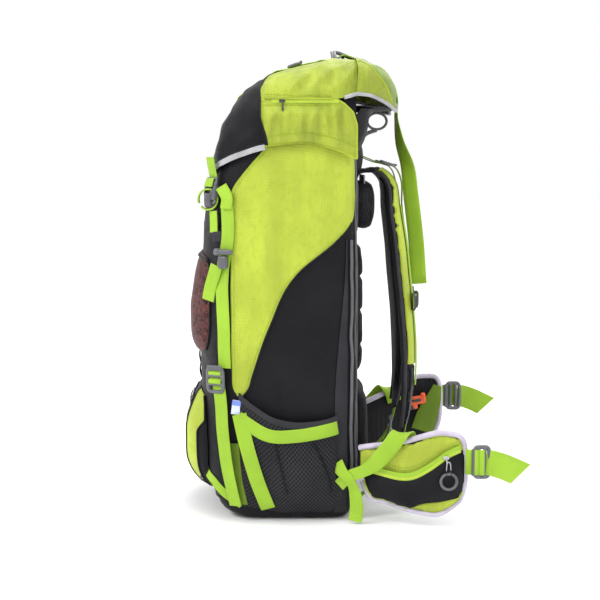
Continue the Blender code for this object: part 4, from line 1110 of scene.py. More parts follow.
def build_side_pockets():
    """Net side pockets with their bound mouths, rear bands and retaining webs."""
    for word, side in SIDES:
        share = np.linspace(0.0, 1.0, 90)
        ys = lerp(POCKET_Y[0], POCKET_Y[-1], share)
        tops = smooth_at(POCKET_Y, POCKET_TOP, ys)
        rows = np.linspace(0.0, 1.0, 70)[:, None]
        floor = POCKET_FLOOR + 0.014 * smoothstep(0.05, -0.046, ys)[None, :]
        z = floor + (tops[None, :] - floor) * rows
        y = np.repeat(ys[None, :], 70, axis=0)
        grid = BAG.side(y, z, pocket_out(y, z), side)
        bag_cloth(grid, NET_CLOTH, "side_pocket_net_" + word, "net", "side_pocket_" + word)
        band = np.linspace(-0.0045, 0.0045, 6)[:, None]
        z = tops[None, :] - 0.0045 + band
        y = np.repeat(ys[None, :], 6, axis=0)
        bind = BAG.side(y, z, pocket_out(y, z) + 0.0008, side)
        bag_cloth(bind, 0.003, "side_pocket_binding_" + word, "tape_dark")
        # Plain band down the pocket's rear edge, and the piping folds in the net.
        z = np.linspace(0.012, 0.42, 70)[:, None]
        y = np.linspace(0.0955, 0.113, 8)[None, :] + 0.0 * z
        z = z + 0.0 * y
        lift = 0.0019 + 0.0006 * np.sin(np.pi * (y - 0.0955) / 0.0175)
        taper = y + (0.113 - y) * smoothstep(0.17, 0.42, z) * 0.9
        bag_cloth(BAG.side(taper, z, lift, side), CLOTH, "side_pocket_band_" + word, "charcoal")
        for k, (y0, y1) in enumerate(((0.006, 0.026), (0.058, 0.09))):
            z = np.linspace(0.045, 0.134, 40)
            y = lerp(y1, y0, (z - 0.045) / 0.089) if k == 0 else lerp(y1, y0, ((z - 0.045) / 0.089) ** 1.6)
            piping(BAG.side(y, z, pocket_out(y, z) + 0.0004, side), 0.0017,
                   f"side_pocket_fold_{k + 1}_{word}", "black", "bag")
        y = np.linspace(-0.044, 0.098, 60)
        z = smooth_at((-0.044, -0.004, 0.042, 0.098), (0.16, 0.136, 0.135, 0.145), y)
        out = pocket_out(y, z) + 0.0018
        path = BAG.side(y, z, out, side)
        laid_web(path, (0.0, -0.1, 1.0), 0.0195, WEB, "pocket_web_" + word, "web", "bag",
                 "side_pocket_strap_" + word)
        rows = Parts()
        for lift in (-0.0078, 0.0078):
            rows.stitches(BAG.side(y[:7], z[:7] + lift, out[:7] + 0.001, side), radius=0.0004)
            rows.stitches(BAG.side(y[-7:], z[-7:] + lift, out[-7:] + 0.001, side), radius=0.0004)
        rows.piece("pocket_web_stitching_" + word, "stitch_green", "bag")
        # Plain two-tone tab sewn in at the front of the pocket mouth.
        z = np.linspace(0.185, 0.164, 10)
        path = BAG.side(np.linspace(-0.0455, -0.0485, 10), z, 0.0052, side)
        laid_web(path, (0.0, 1.0, -0.1), 0.0165, 0.0016, "side_tab_" + word, "tab_pale", "bag")
        z = np.linspace(0.1845, 0.1775, 6)
        path = BAG.side(np.linspace(-0.0455, -0.0465, 6), z, 0.0064, side)
        laid_web(path, (0.0, 1.0, -0.1), 0.0169, 0.0012, "side_tab_band_" + word, "tab", "bag")


def pocket_cloth(half, low, high, depth, u, v, lift, seed):
    """Front pocket, fullest a little below its middle. u is the share of its half width, v of its height."""
    pinch = 1.0 - 0.1 * np.abs(2 * v - 1) ** 4
    x = u * half * pinch
    z = low + (high - low) * v + 0.0 * u
    z = z - (z - (low + high) / 2) * 0.1 * np.abs(u) ** 4
    swell = (1 - np.abs(u) ** 4.5) ** 0.55 * (1 - np.abs(2 * v ** 0.8 - 1) ** 2.2) ** 0.75
    creased = np.array([wave(a * 22, h * 30, seed) for a, h in zip(x.ravel(), z.ravel())])
    out = 0.0014 + lift + depth * swell + 0.0016 * creased.reshape(x.shape) * swell
    return BAG.front(x, z, out)


def pocket_grid(half, low, high, depth, columns, rows, first=-1.0, last=1.0, lift=0.0, seed=0.0):
    """Rows of points of a front pocket between two shares of its width."""
    u = np.linspace(first, last, columns)[None, :]
    v = np.linspace(0.0, 1.0, rows)[:, None]
    return pocket_cloth(half, low, high, depth, u, v, lift, seed)


def build_front_pockets():
    """Printed stretch pocket above, and the swollen lower pocket with bright gussets below."""
    grid = pocket_grid(0.124, 0.246, 0.398, 0.015, 90, 70, seed=2.0)
    bag_cloth(grid, PACK_CLOTH, "stretch_pocket_cloth", "wine", "stretch_pocket")
    mouth = pocket_grid(0.124, 0.246, 0.398, 0.015, 90, 70, lift=0.0006, seed=2.0)[-3]
    Parts().tube(mouth, 0.0028, keep=True, flat=0.6, guide=(0, 1, 0)).piece("stretch_pocket_binding",
            "tape_dark", "bag")
    for side, word in ((1.0, "right"), (-1.0, "left")):
        seam = [grid[r][-1 if side > 0 else 0] for r in range(0, 70)]
        piping(seam, 0.0015, "stretch_pocket_seam_" + word, "tape_black", "bag")
    size = (0.116, 0.036, 0.19, 0.0285)
    face = pocket_grid(*size, 96, 70, first=-0.68, last=0.68, seed=7.0)
    bag_cloth(face, PACK_CLOTH, "lower_pocket_face", "black", "lower_pocket")
    rise = np.linspace(0.0, 1.0, 70)[:, None]
    bound = 0.925 + 0.07 * smoothstep(0.6, 0.75, rise)
    for word, side in SIDES:
        across = lerp(0.68, bound, np.linspace(0.0, 1.0, 24)[None, :]) * side
        gusset = pocket_cloth(*size, across, rise, 0.0003, 7.0)
        bag_cloth(gusset, PACK_CLOTH, "lower_pocket_gusset_" + word, "green")
        across = lerp(bound, 0.9992, np.linspace(0.0, 1.0, 10)[None, :]) * side
        inset = pocket_cloth(*size, across, rise, 0.0, 7.0)
        bag_cloth(inset, PACK_CLOTH, "lower_pocket_side_" + word, "black")
        for tag, share in (("front", 0.68 + 0.0 * rise), ("rear", bound)):
            line = pocket_cloth(*size, share * side, rise, 0.001, 7.0)[:, 0]
            piping(line, 0.0013, f"lower_pocket_piping_{tag}_{word}", "tape_black", "bag")
    # Zip across the lower pocket, under a short flap.
    row = pocket_grid(*size, 96, 70, first=-0.62, last=0.62, lift=0.001, seed=7.0)
    laid_web(row[58], (0.0, 0.35, 1.0), 0.006, 0.0016, "lower_pocket_zip", "zip", "bag")
    flap = row[59:64] + (0.0, -0.0016, 0.0)
    bag_cloth(flap, CLOTH, "lower_pocket_flap", "black_lid")
    start = row[58][12]
    Parts().box(start + (0, -0.0024, 0), np.eye(3), (0.009, 0.003, 0.0046),
                0.0012).piece("lower_pocket_slider", "metal", "bag")
    pull = [start + (0.004, -0.004, -0.001), start + (0.005, -0.0075, -0.01),
            start + (0.005, -0.0075, -0.026)]
    Parts().tube(pull, (0.001, 0.0011, 0.002), count=18).piece("lower_pocket_pull", "cord", "bag")
    # Plain tab and daisy chain of the front panel.
    tab = BAG.front(np.linspace(-0.022, 0.022, 14), 0.432, 0.0018)
    laid_web(tab, (0, 0, 1), 0.02, 0.0016, "front_tab", "tab", "bag")
    z = np.linspace(0.2, 0.246, 24)
    for x in (-0.03, 0.03):
        chain = BAG.front(x, z, 0.0016 + 0.002 * np.abs(np.sin((z - 0.2) * math.pi / 0.023)))
        laid_web(chain, (1, 0, 0), 0.018, WEB, "gear_loop_right" if x > 0 else "gear_loop_left",
                 "web_black", "bag")
    # Bright piping that follows the lower front edge, with a small dark clip on each side.
    for word, side in SIDES:
        front = BAG.front(np.array([0.1, 0.118, 0.132]) * side, np.array([0.07, 0.064, 0.058]), 0.004)
        corner = BAG.side(np.array([-0.076, -0.066, -0.055, -0.043]), np.array([0.05, 0.04, 0.032, 0.0235]),
                          np.array([0.0035, 0.0026, 0.001, -0.001]), side)
        Parts().strap(np.vstack([front, corner]), (0, 0.35, 1), 0.0115,
                      count=50).piece("front_hem_web_" + word, "web", "bag")
        at = BAG.front(0.098 * side, 0.058, 0.008)
        hook = [at + (0, 0, 0.007), at + (0.004 * side, -0.005, 0.003), at + (0.003 * side, -0.006, -0.005),
                at + (-0.002 * side, -0.001, -0.008)]
        Parts().tube(hook, 0.0016, count=20).piece("front_clip_" + word, "plastic", "bag")


# ------------------------------------------------------------------ lid

def seam_y(s):
    """Y of the seam between the black front and the bright top, by position across the lid."""
    s = np.abs(s)
    return LID_SEAM_Y - 0.003 + 0.018 * smoothstep(0.6, 0.3, s) + 0.01 * smoothstep(0.8, 1.0, s)


def rear_end(z):
    """Y where the skirt is cut away at the rear, by height."""
    return np.interp(z, (0.53, 0.585, 0.6, 0.612, 0.62), (0.1272, 0.1265, 0.121, 0.108, 0.093))


def build_lid():
    """Black front, bright crown and skirts, a rear flap in darker green as painted shade with its bright
    facet, hems and lining.
    """
    across = np.linspace(-1.0, 1.0, 170)
    rows = np.linspace(0.0, 1.0, 56)[:, None]
    grid = LID.place(rows * LID.t_at(seam_y(across))[None, :], across[None, :] + 0.0 * rows)
    lid_cloth(grid, "lid_front", "black_lid", "lid_front_panel")
    share = np.linspace(-1.0, 1.0, 120)
    rows = np.linspace(0.0, 1.0, 70)[:, None]
    start = LID.t_at(seam_y(share * 0.74))[None, :]
    t = start + (LID.t_at(0.1272) - start) * rows
    cut = np.interp(LID.smooth_point(t, 0.0)[..., 1], (0.085, 0.127), (0.0, 0.01))
    limit = LID.s_at(t, LID_ZIP_Z + cut)
    grid = LID.place(t, limit * share, 0.0004)
    lid_cloth(grid, "lid_crown", "green_lid", "lid_top_panel")
    edges = {1.0: grid[:, -1], -1.0: grid[:, 0]}
    seam = LID.place(LID.t_at(seam_y(across)), across, 0.0006)
    piping(seam, 0.0013, "lid_front_seam", "tape_black", "lid")
    for word, side in SIDES:
        down = np.linspace(0.0, 1.0, 44)[:, None]
        along = np.linspace(0.0, 1.0, 96)[None, :]
        s_top = LID.s_at(LID.t_at(0.04), LID_ZIP_Z + 0.002)
        s_row = s_top + (1.0 - s_top) * down
        first = seam_y(s_row) - 0.003
        height = LID.smooth_point(LID.t_at(0.12), s_row)[..., 2]
        y = first + (rear_end(height) - first) * along
        t = LID.t_at(y)
        top = LID.s_at(t, LID_ZIP_Z + 0.0015)
        s = top + (1.0 - top) * down
        grid = LID.place(t, s * side, -0.0002)
        lid_cloth(grid, "lid_skirt_" + word, "green_lid")
        hem = grid[-1]
        piping(hem, 0.0017, "lid_hem_" + word, "green_edge", "lid")
        rear = grid[:, -1]
        piping(rear, 0.0015, "lid_skirt_edge_" + word, "green_edge", "lid")
        rows_of_thread = Parts()
        rows_of_thread.stitches(LID.place(t[-1], (s[-1] - 0.05) * side, 0.0006))
        y = np.linspace(-0.006, 0.09, 60)
        rows_of_thread.stitches(LID.side(y, LID_ZIP_Z + 0.0075, 0.0012, side))
        rows_of_thread.stitches(LID.side(y, LID_ZIP_Z - 0.006, 0.0006, side))
        rows_of_thread.piece("lid_stitching_" + word, "stitch_green", "lid")
        fold = LID.side(y, LID_ZIP_Z + 0.0028, 0.0016, side)
        piping(fold, 0.0017, "lid_zip_fold_" + word, "green_edge", "lid")
        # Dark lining inside the skirt, which also shows where the skirt is cut away under the rear flap.
        y = np.linspace(-0.01, 0.1265, 40)[None, :]
        z = np.linspace(0.568, 0.634, 24)[:, None]
        grid = LID.side(y, z, -0.0042, side)
        Parts().sheet(grid, CLOTH, inside=LID_CORE).piece("lid_side_lining_" + word, "lining", "lid")
    y = np.linspace(0.004, 0.1, 50)
    laid_web(LID.side(y, LID_ZIP_Z - 0.0005, 0.0004), (0, 0, 1), 0.006, 0.0014, "lid_zip_chain",
             "zip_green", "lid")
    low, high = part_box("lid_zip_slider")
    spot = LID.side((low.y + high.y) / 2, LID_ZIP_Z - 0.0005, 0.0022)
    slider = Parts().box(spot, np.eye(3), (0.003, 0.0085, 0.0046), 0.0012)
    slider.tube([spot + (0.002, 0.001, 0.0), spot + (0.0036, 0.001, -0.006),
                 spot + (0.0034, 0.001, -0.014)],
                (0.0009, 0.0012, 0.0016), count=14)
    slider.piece("lid_zip_pull", "plastic_dark", "lid_zip", "lid_zip_slider")
    build_rear_flap(edges)
    build_lid_lining()


def build_rear_flap(edges):
    """Rear flap over the hinge, its darker green a painted shade, with a brighter facet low on each side and
    a pale piped edge.
    """
    rows = np.linspace(0.0, 1.0, 44)[:, None]
    facet = 0.56 + 0.42 * smoothstep(0.0, 0.85, rows)
    across = np.linspace(-1.0, 1.0, 100)[None, :]
    t = LID_REAR.end * rows + 0.0 * across
    grid = LID_REAR.place(t, across * facet, 0.0006)
    # The flap's darker green is painted shade.
    lid_cloth(grid, "lid_rear_flap", "green_shaded", "lid_rear_panel")
    piping(grid[0], 0.0013, "lid_rear_seam", "green_edge", "lid")
    for word, side in SIDES:
        across = lerp(facet, 1.0, np.linspace(0.0, 1.0, 26)[None, :])
        t = LID_REAR.end * rows + 0.0 * across
        low = LID_REAR.place(t, across * side, 0.0006)
        lid_cloth(low, "lid_rear_facet_" + word, "green_lid")
        piping(low[:, 0], 0.0014, "lid_facet_seam_" + word, "green_edge", "lid")
        edge = np.vstack([edges[side][-10:-1], low[:, -1]])
        Parts().tube(smooth_path(edge, 70), 0.0028, keep=True).piece("lid_rear_piping_" + word,
                "tape_silver", "lid")
    edge = LID_REAR.place(LID_REAR.end, np.linspace(-1.0, 1.0, 60), 0.0002)
    Parts().tube(edge, 0.0026, keep=True).piece("lid_rear_hem", "tape_silver", "lid")


def build_lid_lining():
    """Floor of the lid pocket, and the pale tape and piping round the hem."""
    low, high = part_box("lid_floor")
    z = (low.z + high.z) / 2
    rows = np.linspace(low.y + 0.002, high.y - 0.002, 60)
    grid = []
    for y in rows:
        lid = LID if y < 0.1265 else LID_REAR
        t = lid.t_at(y)
        s = lid.s_at(t, max(z, float(lid.smooth_point(t, 1.0)[2]) + 0.001))
        wide = abs(float(lid.smooth_point(t, s)[0])) - 0.005
        xs = np.linspace(-wide, wide, 60)
        grid.append([(x, y, z + 0.001 * wave(x * 25, y * 25, 1.0)) for x in xs])
    Parts().sheet(grid, CLOTH, inside=(0, 0.05, z + 0.05)).piece("lid_lining", "lining", "lid", "lid_floor")
    s = np.linspace(-1.0, 1.0, 120)
    ts = np.linspace(0.0, 1.0, 60) * LID.t_at(-0.006)
    right = LID.place(ts[::-1], 1.0, 0.0006)
    left = LID.place(ts, -1.0, 0.0006)
    front = LID.place(0.0, s[::-1], 0.0006)
    hem = np.vstack([right[:-1], front, left[1:]])
    hem = smooth_path(hem[::4], 240)
    laid_web(hem - (0, 0, 0.0012), (0, 0, 1), 0.0085, 0.0022, "lid_hem_tape", "tape_silver", "lid")
    piping(hem + (0, 0, 0.0036), 0.0016, "lid_front_hem", "tape_black", "lid")


# ------------------------------------------------------------------ hardware

def axes_of(across, up):
    """Three unit directions across, up and out from two rough ones."""
    across = unit(np.asarray(across, float))
    up = np.asarray(up, float)
    up = unit(up - across * np.dot(up, across))
    return np.array([across, up, np.cross(across, up)])


def ladder(name, centre, across, up, wide, tall, body, material="plastic", thick=0.0042, bars=(0.0,),
           node=None):
    """Ladder lock: a rounded frame with cross bars, and a raised thumb lip at the top."""
    axes = axes_of(across, up)
    centre = np.asarray(centre, float)
    parts = Parts()
    loop = []
    for angle in round_angles(40):
        c, s = math.cos(angle), math.sin(angle)
        a = signed_power(c, 0.4) * (wide / 2 - thick * 0.45)
        b = signed_power(s, 0.4) * (tall / 2 - thick * 0.45)
        loop.append(centre + axes[0] * a + axes[1] * b)
    parts.tube(loop, thick * 0.55, closed=True, keep=True, sides=10)
    for bar in bars:
        middle = centre + axes[1] * bar * tall + axes[2] * thick * 0.12
        parts.tube([middle - axes[0] * wide * 0.46, middle, middle + axes[0] * wide * 0.46], thick * 0.46,
                   count=12,
                   sides=10)
    lip = centre + axes[1] * tall * 0.46 + axes[2] * thick * 0.35
    parts.box(lip, axes, (wide * 0.82, tall * 0.2, thick * 0.85), thick * 0.4)
    return parts.piece(name, material, body, *([node] if node else []))


def build_side_release(word, side):
    """Buckle at the lid's front corner: socket sewn to the bag, prongs on the lid strap."""
    socket = centre_of("lid_buckle_socket_" + word)
    plug = centre_of("lid_buckle_plug_" + word)
    axes = axes_of((0.8 * side, 0.6, 0.0), plug - socket)
    tall = np.linalg.norm(plug - socket)
    parts = Parts().box(socket, axes, (0.025, 0.019, 0.0072), 0.003)
    for end in (-1, 1):
        parts.box(socket + axes[0] * end * 0.0118 + axes[1] * 0.004, axes, (0.004, 0.015, 0.0088), 0.0018)
    bar = socket - axes[1] * 0.012
    parts.tube([bar - axes[0] * 0.0115 + axes[1] * 0.003, bar - axes[0] * 0.011, bar + axes[0] * 0.011,
                bar + axes[0] * 0.0115 + axes[1] * 0.003], 0.0017, count=20)
    parts.box(socket + axes[2] * 0.0036, axes, (0.012, 0.008, 0.0012), 0.0006)
    parts.piece("buckle_socket_" + word, "plastic", "bag", "lid_buckle_socket_" + word)
    parts = Parts().box(plug, axes, (0.024, min(0.012, tall * 0.6), 0.0056), 0.0024)
    for bar in (0.3, 0.62):
        at = plug + axes[1] * tall * bar
        parts.tube([at - axes[0] * 0.011, at, at + axes[0] * 0.011], 0.0018, count=10)
    for end in (-1, 1):
        rail = plug + axes[0] * end * 0.0112
        parts.tube([rail, rail + axes[1] * tall * 0.35, rail + axes[1] * tall * 0.66], 0.0017, count=10)
    parts.piece("buckle_prongs_" + word, "plastic", "lid_plug_" + word, "lid_buckle_plug_" + word)
    build_lid_strap(word, side, plug, axes, tall)


def build_lid_strap(word, side, plug, axes, tall):
    """Short web from the lid's hem through the prongs' bars, with its tail folded back."""
    low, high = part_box("lid_strap_" + word)
    top = np.array([(low.x + high.x) / 2 + 0.0015 * side, (low.y + high.y) / 2 - 0.003, high.z - 0.002])
    path = [plug + axes[1] * tall * 0.3 - axes[2] * 0.003, plug + axes[1] * tall * 0.7 - axes[2] * 0.002,
            lerp(plug + axes[1] * tall, top, 0.5), top]
    web = Parts().strap(path, axes[0], 0.0195, count=30)
    path = [plug + axes[1] * tall * 0.62 + axes[2] * 0.0034, plug + axes[1] * tall * 0.3 + axes[2] * 0.0046,
            plug - axes[1] * 0.004 + axes[2] * 0.0062]
    web.strap(path, axes[0], 0.019, count=24, hem=0.006)
    web.piece("buckle_web_" + word, "web", "lid_plug_" + word, "lid_strap_" + word)


def build_edge_chain():
    """Compression webbing down each front edge of the bag, with its loop, tri-glides and tails."""
    for word, side in SIDES:
        across = (0.436 * side, 0.9, 0.0)
        inner = Parts()
        # Long strap from under the loop to the ladder lock, then on down to the bottom edge.
        y, z = side_run(0.47, 0.232, 90, (0.232, 0.3, 0.376, 0.42, 0.47),
                        (-0.065, -0.066, -0.067, -0.06, -0.06))
        inner.strap(BAG.side(y, z, 0.0036, side), across, 0.0205, keep=True)
        y, z = side_run(0.208, 0.024, 80, (0.024, 0.08, 0.14, 0.19, 0.208),
                        (-0.05, -0.059, -0.065, -0.069, -0.072))
        out = 0.007 + 0.006 * np.sin(np.pi * (0.208 - z) / 0.184)
        inner.strap(BAG.side(y, z, out, side), across, 0.02, keep=True, hem=0.01)
        inner.piece("edge_web_" + word, "web", "bag", "edge_strap_" + word)
        y, z = side_run(0.1655, 0.021, 70, (0.021, 0.07, 0.12, 0.1655), (-0.003, -0.019, -0.033, -0.0435))
        out = pocket_out(y, z) + 0.0045
        Parts().strap(BAG.side(y, z, out, side), (0.1 * side, 1.0, 0.3), 0.0215, keep=True,
                      hem=0.011).piece("pocket_tail_" + word, "web", "bag")
        y, z = side_run(0.12, 0.026, 40, (0.026, 0.07, 0.12), (-0.04, -0.048, -0.052))
        # Painted shade: this web uses the darkened webbing.
        laid_web(BAG.side(y, z, 0.004, side), across, 0.016, WEB, "edge_under_web_" + word, "web_shaded",
                 "bag")
        centre = BAG.side(-0.0735, 0.2145, 0.011, side)
        ladder("edge_ladder_" + word, centre, across, (0.0, -0.16, 1.0), 0.03, 0.04, "bag",
               bars=(-0.16, 0.16), thick=0.0052, node="edge_lock_" + word)
        threaded = Parts()
        for lift in (0.0105, -0.002):
            spot = centre + np.array([0.0, 0.0, lift])
            nose = np.cross(unit(np.array(across)), (0, 0, 1)) * side
            threaded.strap([spot + (0, 0, 0.006) - nose * 0.002, spot + nose * 0.0038,
                            spot - (0, 0, 0.006) - nose * 0.002],
                           across, 0.0205, count=18)
        threaded.piece("edge_ladder_web_" + word, "web", "bag")
        build_loop(word, side)
        # Tri-glide half way down, with its knob and bar.
        at = BAG.side(-0.064, 0.393, 0.0085, side)
        axes = axes_of(across, (0, 0, 1))
        parts = Parts().box(at + (0, 0, -0.005), axes, (0.015, 0.019, 0.0085), 0.003)
        parts.box(at + (0, 0, 0.01), axes, (0.03, 0.0085, 0.0078), 0.0034)
        parts.box(at + (0, 0, 0.01) - axes[0] * 0.0095 * side, axes, (0.0115, 0.0115, 0.011), 0.005)
        parts.piece("edge_hook_" + word, "plastic", "bag")
        y, z = side_run(0.383, 0.331, 30, (0.331, 0.36, 0.383), (-0.083, -0.0775, -0.0715))
        Parts().strap(BAG.side(y, z, 0.01, side), (0.5 * side, 0.86, 0.22), 0.02, keep=True,
                      hem=0.008).piece("edge_tail_" + word, "web", "bag")
        z = np.linspace(0.462, 0.431, 20)
        laid_web(BAG.side(-0.0765, z, 0.0075, side), across, 0.0125, WEB, "edge_short_tail_" + word, "web",
                 "bag")
        for k, (y, z, size) in enumerate(((-0.079, 0.447, (0.018, 0.02, 0.007)),
                                          (-0.074, 0.425, (0.016, 0.016, 0.008)))):
            at = BAG.side(y, z, 0.003, side)
            Parts().box(at, axes, size, 0.003).piece(f"edge_keeper_{k + 1}_{word}", "web_black", "bag")


def build_loop(word, side):
    """Spare webbing rolled into a ring on the edge, with its grey buckle inside."""
    at = BAG.side(-0.08, 0.479, 0.012, side)
    nose = np.array([0.0, -1.0, 0.0])
    up = np.array([0.0, 0.0, 1.0])
    ring = [at + (nose * math.cos(a) * 0.95 + up * math.sin(a)) * 0.015 for a in np.linspace(-0.4, 5.5, 22)]
    Parts().strap(ring, (1.0, 0.0, 0.0), 0.019, 0.0024, count=70).piece("edge_loop_" + word, "web", "bag")
    axes = axes_of((0.0, 1.0, 0.0), up)
    parts = Parts().box(at + (0.004 * side, 0, -0.001), axes, (0.011, 0.021, 0.011), 0.003)
    parts.box(at + (0.009 * side, 0, -0.006), axes, (0.008, 0.007, 0.004), 0.0018)
    parts.piece("edge_loop_buckle_" + word, "plastic", "bag")
    y, z = side_run(0.498, 0.466, 24, (0.466, 0.482, 0.498), (-0.06, -0.0585, -0.066))
    laid_web(BAG.side(y, z, 0.0075, side), (0.3 * side, 0.95, 0.0), 0.0175, WEB, "edge_loop_web_" + word,
             "web", "bag")


def build_crown():
    """Webbing over the crown of the lid, its ladder lock, and the long hanging tail."""
    y = np.linspace(-0.052, 0.096, 60)
    path = LID.place(LID.t_at(y), 0.0, 0.0024)
    web = Parts().strap(path, (1, 0, 0), CROWN_WEB, keep=True)
    lock = np.array([0.0, 0.116, 0.6905])
    over = [path[-1] + (0, 0.002, 0.001), lock + (0, -0.01, 0.004), lock + (0, -0.002, 0.0062),
            lock + (0, 0.01, 0.002)]
    web.strap(over, (1, 0, 0), 0.024, count=24)
    t = np.linspace(0.01, 1.0, 50) * LID_REAR.end
    back = LID_REAR.place(t, 0.0, 0.0028)
    web.strap(np.vstack([[lock + (0, 0.012, -0.001)], back[2:]]), (1, 0, 0), CROWN_WEB, keep=True)
    web.piece("crown_web", "web", "lid", "lid_top_strap")
    ladder("crown_ladder", lock, (0.9, 0.05, -0.42), (0.0, -0.9, 0.42), 0.037, 0.045, "lid",
           bars=(-0.18, 0.12),
           thick=0.0056, node="lid_ladder_lock")
    small = LID.place(LID.t_at(0.038), 0.0, 0.005)
    ladder("crown_keeper", small, (1, 0, 0), (0.0, 0.94, 0.3), 0.03, 0.023, "lid", thick=0.0046)
    route = [(0.0, 0.1935, 0.64), (0.0, 0.195, 0.627), (0.003, 0.1935, 0.604), (0.009, 0.199, 0.564),
             (0.014, 0.211, 0.526), (0.019, 0.2165, 0.48), (0.025, 0.224, 0.415), (0.03, 0.229, 0.345)]
    turns = [math.radians(a) for a in (0, 8, 34, 60, 68, 72, 75, 77)]
    across = np.array([(math.cos(a), math.sin(a), 0.0) for a in turns])
    line = smooth_path(route, 90)
    tail = Parts().strap(route, across, CROWN_WEB, count=90, hem=0.014).piece("crown_tail", "web", "lid",
            "lid_strap_tail")
    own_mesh(tail)
    bead = Parts()
    bead.stitches(np.array([line[84] + across[-1] * 0.0102 * k for k in np.linspace(-1, 1, 8)]),
                  pitch=0.003)
    stitched = bead.piece("crown_tail_stitching", "stitch_green", "lid")
    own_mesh(stitched)


def build_hinge_cloth():
    """Black cloth that joins the lid to the top of the bag's back."""
    profile = smooth_path([(0.0, 0.128, 0.54), (0.0, 0.135, 0.553), (0.0, 0.1425, 0.569),
                           (0.0, 0.1465, 0.585),
                           (0.0, 0.148, 0.598), (0.0, 0.1545, 0.611)], 30)
    across = np.linspace(-1.0, 1.0, 60)[None, :]
    half = np.linspace(0.122, 0.136, 30)[:, None]
    grid = np.zeros((30, 60, 3))
    grid[..., 0] = across * half
    fold = np.array([[wave(x * 30, z * 20, 4.0) for x in row] for row,
                     z in zip(grid[..., 0], profile[:, 2])])
    grid[..., 1] = profile[:, 1][:, None] + 0.0016 * fold - 0.022 * np.abs(across) ** 8
    grid[..., 2] = profile[:, 2][:, None]
    cloth = Parts().sheet(grid, CLOTH, inside=(0.0, 0.05, 0.55)).piece("lid_hinge_cloth", "black", None)
    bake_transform(cloth)


def build_haul_loop():
    """Grab loop of cord behind the lid, on its sewn tab."""
    centre = np.array([0.0, 0.164, 0.596])
    path = [centre + (0.0, 0.015 * math.sin(a), -0.0125 * math.cos(a))
            for a in np.linspace(0.0, 2 * math.pi, 36)]
    parts = Parts().tube(path[:-1], 0.0021, count=70, sides=10, closed=True)
    tab = [(0.0, 0.141, 0.57), (0.0, 0.147, 0.576), (0.0, 0.156, 0.58), (0.0, 0.164, 0.5822)]
    parts.tube(tab, 0.003, count=20, flat=0.6)
    loop = parts.piece("haul_loop_cord", "cord", "bag", "haul_loop")
    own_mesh(loop)


# ------------------------------------------------------------------ padding

def puff(piece, cap):
    """Inflates a closed pad with a cloth simulation. No point moves further than cap."""
    scene = bpy.context.scene
    remesh = piece.modifiers.new("even", "REMESH")
    remesh.mode = "VOXEL"
    remesh.voxel_size = PAD_VOXEL
    graph = bpy.context.evaluated_depsgraph_get()
    mesh = bpy.data.meshes.new_from_object(piece.evaluated_get(graph))
    piece.modifiers.remove(remesh)
    material = piece.data.materials[0]
    piece.data = mesh
    mesh.materials.clear()
    mesh.materials.append(material)
    start = coordinates(mesh)
    cloth = piece.modifiers.new("air", "CLOTH")
    cloth.settings.quality = 4
    cloth.settings.mass = PAD_MASS
    cloth.settings.tension_stiffness = PAD_STIFFNESS
    cloth.settings.compression_stiffness = PAD_STIFFNESS
    cloth.settings.use_pressure = True
    cloth.settings.uniform_pressure_force = PAD_PRESSURE
    cloth.settings.effector_weights.gravity = 0.0
    cloth.point_cache.frame_start = 1
    cloth.point_cache.frame_end = PAD_FRAMES
    for number in range(1, PAD_FRAMES + 1):
        scene.frame_set(number)
    graph = bpy.context.evaluated_depsgraph_get()
    moved = coordinates(piece.evaluated_get(graph).data)
    piece.modifiers.remove(cloth)
    scene.frame_set(1)
    shift = moved - start
    far = np.linalg.norm(shift, axis=1, keepdims=True)
    start = start + shift * np.minimum(1.0, cap / np.maximum(far, 1e-9))
    mesh.vertices.foreach_set("co", start.astype(np.float32).ravel())
    smooth = piece.modifiers.new("smooth", "SUBSURF")
    smooth.levels = 1
    graph = bpy.context.evaluated_depsgraph_get()
    finer = bpy.data.meshes.new_from_object(piece.evaluated_get(graph))
    piece.modifiers.remove(smooth)
    piece.data = finer
    finer.polygons.foreach_set("use_smooth", [True] * len(finer.polygons))
    return piece


def coordinates(mesh):
    """The mesh's points as rows."""
    found = np.zeros(len(mesh.vertices) * 3, np.float32)
    mesh.vertices.foreach_get("co", found)
    return found.reshape(-1, 3).astype(float)


def reshape(piece, change):
    """Moves each point of a piece as change says, such as for sewn channels."""
    points = change(coordinates(piece.data))
    piece.data.vertices.foreach_set("co", points.astype(np.float32).ravel())
    piece.data.update()


def surface_of(piece):
    """A finished pad's surface, to lay fabric on."""
    mesh = piece.data
    points = [Vector(p) for p in coordinates(mesh)]
    return BVHTree.FromPolygons(points, [tuple(p.vertices) for p in mesh.polygons])


def laid_on(surface, points, towards, lift):
    """Points dropped along a direction onto a surface, then raised by lift."""
    points = np.asarray(points, float)
    shape = points.shape
    flat = points.reshape(-1, 3)
    direction = np.broadcast_to(np.asarray(towards, float), shape).reshape(-1, 3)
    lifts = np.broadcast_to(np.asarray(lift, float), shape[:-1]).ravel()
    found = []
    for p, d, h in zip(flat, direction, lifts):
        d = unit(d)
        hit = surface.ray_cast(Vector(p - d * 0.05), Vector(d), 0.12)[0]
        if hit is None:
            hit = surface.find_nearest(Vector(p))[0]
        found.append(np.array(hit) - d * h)
    return np.array(found).reshape(shape)


